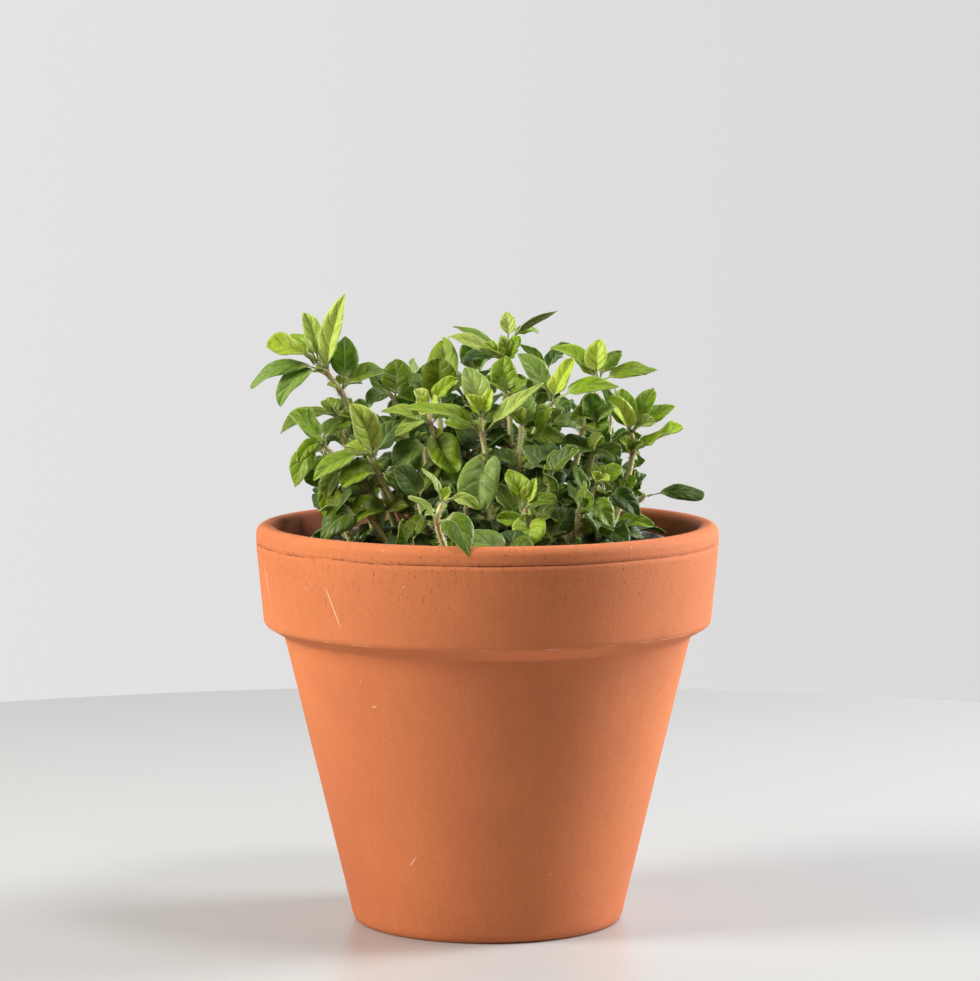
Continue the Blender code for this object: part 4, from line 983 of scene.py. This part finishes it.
def grow_stem(bm, layers, path, nodes, woody):
    """Extrudes the stem's ring along the path; returns the stations for the hairs."""
    ring = bmesh.ops.create_circle(bm, cap_ends=False, segments=8, radius=1)["verts"]
    edges = [edge for edge in bm.edges if all(vert in ring for vert in edge.verts)]
    stations = []
    for number, point in enumerate(path):
        share = number / (len(path) - 1)
        before, after = path[max(number - 1, 0)], path[min(number + 1, len(path) - 1)]
        tangent = (after - before).normalized()
        across, other = ring_frame(tangent)
        near = min(((point - node).length for node in nodes), default=99)
        swell = 1 + 0.32 * math.exp(-((near / 1.1) ** 2))
        half = stem_half(share) * swell * (1 if number < len(path) - 1 else 0.5)
        if number:
            grown = bmesh.ops.extrude_edge_only(bm, edges=edges)["geom"]
            edges = [item for item in grown if isinstance(item, bmesh.types.BMEdge)]
            ring = ordered_ring([item for item in grown if isinstance(item, bmesh.types.BMVert)], ring)
        for corner, vert in enumerate(ring):
            angle = 2 * math.pi * (corner + 0.5) / 8
            square = 1.12 if corner % 2 else 0.93
            reach = half * square
            vert.co = (point + across * math.cos(angle) * reach + other * math.sin(angle) * reach) * MM
            vert[layers["flush"]] = math.exp(-((near / 1.5) ** 2))
            vert[layers["wood"]] = min(1.0, max(0.0, woody - share * 1.4))
        stations.append((point, across, other, half))
    bmesh.ops.holes_fill(bm, edges=[edge for edge in bm.edges if edge.is_boundary], sides=0)
    bmesh.ops.recalc_face_normals(bm, faces=bm.faces)
    return stations


def ordered_ring(verts, last):
    """The new ring's points in the order of the last ring's, each found by the edge that joins them."""
    fresh = set(verts)
    beside = [[edge.other_vert(old) for edge in old.link_edges] for old in last]
    return [next(vert for vert in near if vert in fresh) for near in beside]


def grow_hairs(bm, stations, count, rng):
    """Adds hairs to the stem's mesh, in its second material."""
    for _ in range(count):
        point, across, other, half = rng.choice(stations[3:])
        angle = rng.uniform(0, 2 * math.pi)
        out = across * math.cos(angle) + other * math.sin(angle)
        length = rng.uniform(*HAIR_LENGTHS)
        slide = across.cross(other) * rng.uniform(-0.8, 0.8)
        lean = (out + slide * 0.3).normalized()
        place = Matrix.Translation((point + slide + out * half * 0.95 + lean * length / 2) * MM)
        turn = lean.to_track_quat("Z", "Y").to_matrix().to_4x4()
        sizes = {"radius1": HAIR_RADII[0] * MM, "radius2": HAIR_RADII[1] * MM, "depth": length * MM}
        hair = bmesh.ops.create_cone(bm, cap_ends=True, segments=3, **sizes, matrix=place @ turn)
        for face in {face for vert in hair["verts"] for face in vert.link_faces}:
            face.material_index = 1


# %% [markdown]
# ## Assembling the sprigs
#
# Each sprig becomes a stem piece and a leaves piece, which together stand for the sprig's solid. Leaves
# near the tip are young. In the angle above older leaves, oregano starts side shoots: two tiny bright
# leaves each.

# %% Sprigs
RULED_SLIM = 0.92
OLD_LEAF = 0.06
# Leaves with habits of their own, by sprig, point of its route and place in the group: folded hearts, a
# curled tip, a flat leaf on a long stalk, a browned one.
HABITS = {
    ("tall_left", 4, 0): {"tip": 0.42, "droop": 0.8, "wave": 0.1, "tone": 0.9},
    ("tall_left", 4, 1): {"wave": 0.12, "tip": 0.38, "tone": 0.85},
    ("tall_left", 4, 2): {"girth": 0.85, "curl": 0.1, "tone": 0.95},
    ("tall_left", 5, 0): {"tone": 0.3, "tip": 0.4},
    ("tall_left", 5, 1): {"girth": 0.9, "tone": 0.8},
    ("centre_left", 3, 0): {"fold": 44, "lobes": 0.2, "droop": 0.1, "stalk": 0.1, "tone": 0.45},
    ("centre", 2, 0): {"fold": 34, "lobes": 0.2, "droop": 0.1, "stalk": 0.05, "tone": 0.9},
    ("centre", 4, 0): {"tone": 0.35},
    ("centre", 4, 1): {"tone": 0.45},
    ("top_centre", 4, 1): {"tone": 2.5, "arch": 0.05, "roll": 60},
    ("right_high", 3, 1): {"tone": 0.1, "fold": 10},
    ("far_right", 3, 0): {"droop": -1.5, "wave": 0.16, "arch": 0.04, "tip": 0.6, "tone": 0.2, "roll": -15},
    ("lone_leaf", 4, 0): {"arch": 0.06, "droop": 0.3, "stalk": 0.22, "fold": 8, "wave": 0.12, "tip": 0.28,
        "girth": 1.2},
    ("right_front", 2, 1): {"roll": 20},
    ("front_right", 1, 1): {"roll": -20},
    ("over_rim", 2, 0): {"droop": 0.0, "arch": 0.26, "fold": 20, "wave": 0.04, "tip": 0.95, "tone": 0.5},
    ("over_rim", 2, 1): {"roll": 60},
    ("over_rim", 3, 0): {"roll": 40},
    ("over_rim", 3, 1): {"roll": 30},
}
HAIRS_A_STATION = 8
WOODY, RULED_WOODY = 0.6, 1.5
SHOOTS, RULED_SHOOTS = (3.0, 5.5), (5.0, 8.5)


def sky_of(name, tip):
    """Inner and rear sprigs' leaves look up and outwards and have plain grids; planned ones are as drawn."""
    if name in SPRIGS:
        return {}
    outward = Vector((tip.x, tip.y, 0)) / 45
    return {"light": (outward + Vector((0, -0.15, 1))).normalized(), "grid": PLAIN_LEAF}


def side_shoots(bm, layers, centre, tangent, half, sizes, own, rng):
    """Two small leaves in a leaf's axil."""
    angle = rng.uniform(0, 2 * math.pi)
    across, other = ring_frame(tangent)
    for turn in (0, math.pi):
        out = across * math.cos(angle + turn) + other * math.sin(angle + turn)
        length = rng.uniform(*sizes)
        way = (out * 0.75 + tangent * 0.8).normalized() * length
        youth = rng.uniform(0.55, 0.85) if sizes == SHOOTS else rng.uniform(0.15, 0.5)
        small = own | {"grid": PLAIN_LEAF}
        grow_leaf(bm, layers, centre + out * half * 0.7, way, length * 0.55, youth, rng, small)


def grow_leaves(name, points, leaves, rng):
    """A bmesh of the sprig's leaves and side shoots."""
    blades = bmesh.new()
    layers = leaf_layers(blades)
    slim, shoots = (1.0, SHOOTS) if name in SPRIGS else (RULED_SLIM, RULED_SHOOTS)
    sky = sky_of(name, points[-1])
    for number, group in leaves.items():
        point = points[number]
        tangent = (points[min(number + 1, len(points) - 1)] - points[number - 1]).normalized()
        half = stem_half(number / (len(points) - 1))
        for place, (x, y, z, width, *youth) in enumerate(group):
            way = Vector((x, y, z))
            out = (way - tangent * way.dot(tangent)).normalized() * half * 0.8
            fresh = (youth or [OLD_LEAF])[0] + rng.uniform(-0.05, 0.05)
            fresh = max(0.0, min(1.0, fresh))
            own = sky | HABITS.get((name, number, place), {})
            grow_leaf(blades, layers, point + out, way - out, width * slim, fresh, rng, own)
        if len(group) > 1 and (number != max(leaves) or len(group) < 3):
            side_shoots(blades, layers, point + tangent * 1.0, tangent, half, shoots, sky, rng)
    return blades


def dress_sprig(name, route, leaves, rng):
    """The sprig's two pieces, which together stand for its solid; returns how many leaves it has."""
    points = [Vector((*route[0][:2], MIX_TOP / MM + 0.1))] + [Vector(point) for point in route[1:]]
    path = smooth_route(points)
    stem = bmesh.new()
    layers = {kind: stem.verts.layers.float.new(kind) for kind in ("flush", "wood")}
    woody = WOODY if name in SPRIGS else RULED_WOODY
    stations = grow_stem(stem, layers, path, [points[number] for number in leaves], woody)
    grow_hairs(stem, stations, len(path) * HAIRS_A_STATION, rng)
    node = f"sprig_{name}"
    make_piece(f"stem_{name}", stem, [STEM, HAIR], node)
    blades = grow_leaves(name, points, leaves, rng)
    piece = make_piece(f"leaves_{name}", blades, [LEAF_TOP, LEAF_UNDER], node)
    shell = piece.modifiers.new("blade_thickness", "SOLIDIFY")
    shell.thickness = BLADE_THICKNESS
    shell.offset = -1
    shell.material_offset = 1
    shell.material_offset_rim = 0
    return sum(len(group) for group in leaves.values())


LEAF_SEED = 11
leaf_rng = random.Random(LEAF_SEED)
leaf_total = sum(dress_sprig(name, *plant, leaf_rng) for name, plant in plants.items())
print(leaf_total, "leaves")

# %% [markdown]
# ## Studio
#
# The pot stands on a round pale table with a slight gloss, in front of a plain lit panel. Two soft boxes,
# one on each side, leave the front of the clay in a softer light, which is what shows its roundness. A
# small one, high on the right, brightens the lip and the upper leaves.

# %% Table and panel
TABLE_RADIUS = 0.53
PANEL_DISTANCE = 1.5
PANEL_HALF_WIDTH = 1.6


def table_finish():
    table = Finish("pale_table", 0.33)
    clouding = table.noise(table.place(), 5, 2, 0.5)
    colour = table.mix(clouding, (0.48, 0.48, 0.485), (0.51, 0.51, 0.51))
    return table.end(colour)


def panel_finish():
    panel = Finish("lit_panel", 0.9)
    # Painted light: the panel glows by itself, painted brighter on the left and darker on the right.
    shade = panel.ramp(panel.split(panel.place())[0], -0.4, 0.4)
    glow = panel.mix(shade, (0.765, 0.755, 0.755), (0.700, 0.688, 0.688))
    return panel.end((0.0, 0.0, 0.0), Emission_Color=glow, Emission_Strength=1.0)


def stage_piece(name, bm, finish):
    bmesh.ops.recalc_face_normals(bm, faces=bm.faces)
    smooth_object(name, bm, [finish])


def table():
    edge = 0.012
    rounded = arc((TABLE_RADIUS - edge, -edge), edge, 90, -90, 9)
    bm = bmesh.new()
    spin_profile(bm, [(0, 0), (TABLE_RADIUS * 0.5, 0), *rounded, (0, -2 * edge)], steps=180, closed=False)
    stage_piece("round_table", bm, table_finish())


def panel():
    bm = bmesh.new()
    size = Matrix.Diagonal((PANEL_HALF_WIDTH, 1, 1.4, 1))
    lie = Matrix.Translation((0, PANEL_DISTANCE, 0.6)) @ size @ Matrix.Rotation(math.radians(90), 4, "X")
    bmesh.ops.create_grid(bm, x_segments=2, y_segments=2, size=1, matrix=lie)
    stage_piece("backdrop_panel", bm, panel_finish())


table()
panel()

# %% Lights and world
LIT_CENTRE = (0, 0, 0.1)


def soft_box(name, bearing, rise, distance, size, watts, colour):
    """A rectangular light at a bearing from the front (left is negative) and a rise above the horizon."""
    level = Vector((math.sin(math.radians(bearing)), -math.cos(math.radians(bearing)), 0))
    way = level * math.cos(math.radians(rise)) + Vector((0, 0, math.sin(math.radians(rise))))
    light = bpy.data.lights.new(name, "AREA")
    light.shape = "RECTANGLE"
    light.size, light.size_y = size
    light.energy = watts
    light.color = colour
    lamp = new_object(name, light)
    lamp.location = Vector(LIT_CENTRE) + way * distance
    lamp.rotation_euler = way.to_track_quat("Z", "Y").to_euler()


soft_box("soft_box_left", -71, 27, 1.35, (0.5, 0.8), 23, (1.0, 0.995, 0.90))
soft_box("soft_box_right", 107, 20, 1.3, (0.5, 0.8), 26, (0.93, 0.985, 1.0))
soft_box("soft_box_above", 62, 62, 1.2, (0.3, 0.3), 6.5, (1.0, 0.99, 0.96))
world = bpy.data.worlds.new("studio_room")
world.use_nodes = True
background = world.node_tree.nodes["Background"].inputs
background["Color"].default_value = (0.95, 0.955, 0.96, 1)
background["Strength"].default_value = 0.09
scene.world = world
scene.view_settings.view_transform = "Standard"

# %% Camera
camera_data = bpy.data.cameras.new("camera")
camera_data.lens = 140.0
camera_data.sensor_width = 36.0
camera = new_object("camera", camera_data)
camera.location = (0.0008, -1.2343, 0.258)
camera.rotation_euler = (math.radians(90 - 5.44), 0, 0)
scene.camera = camera
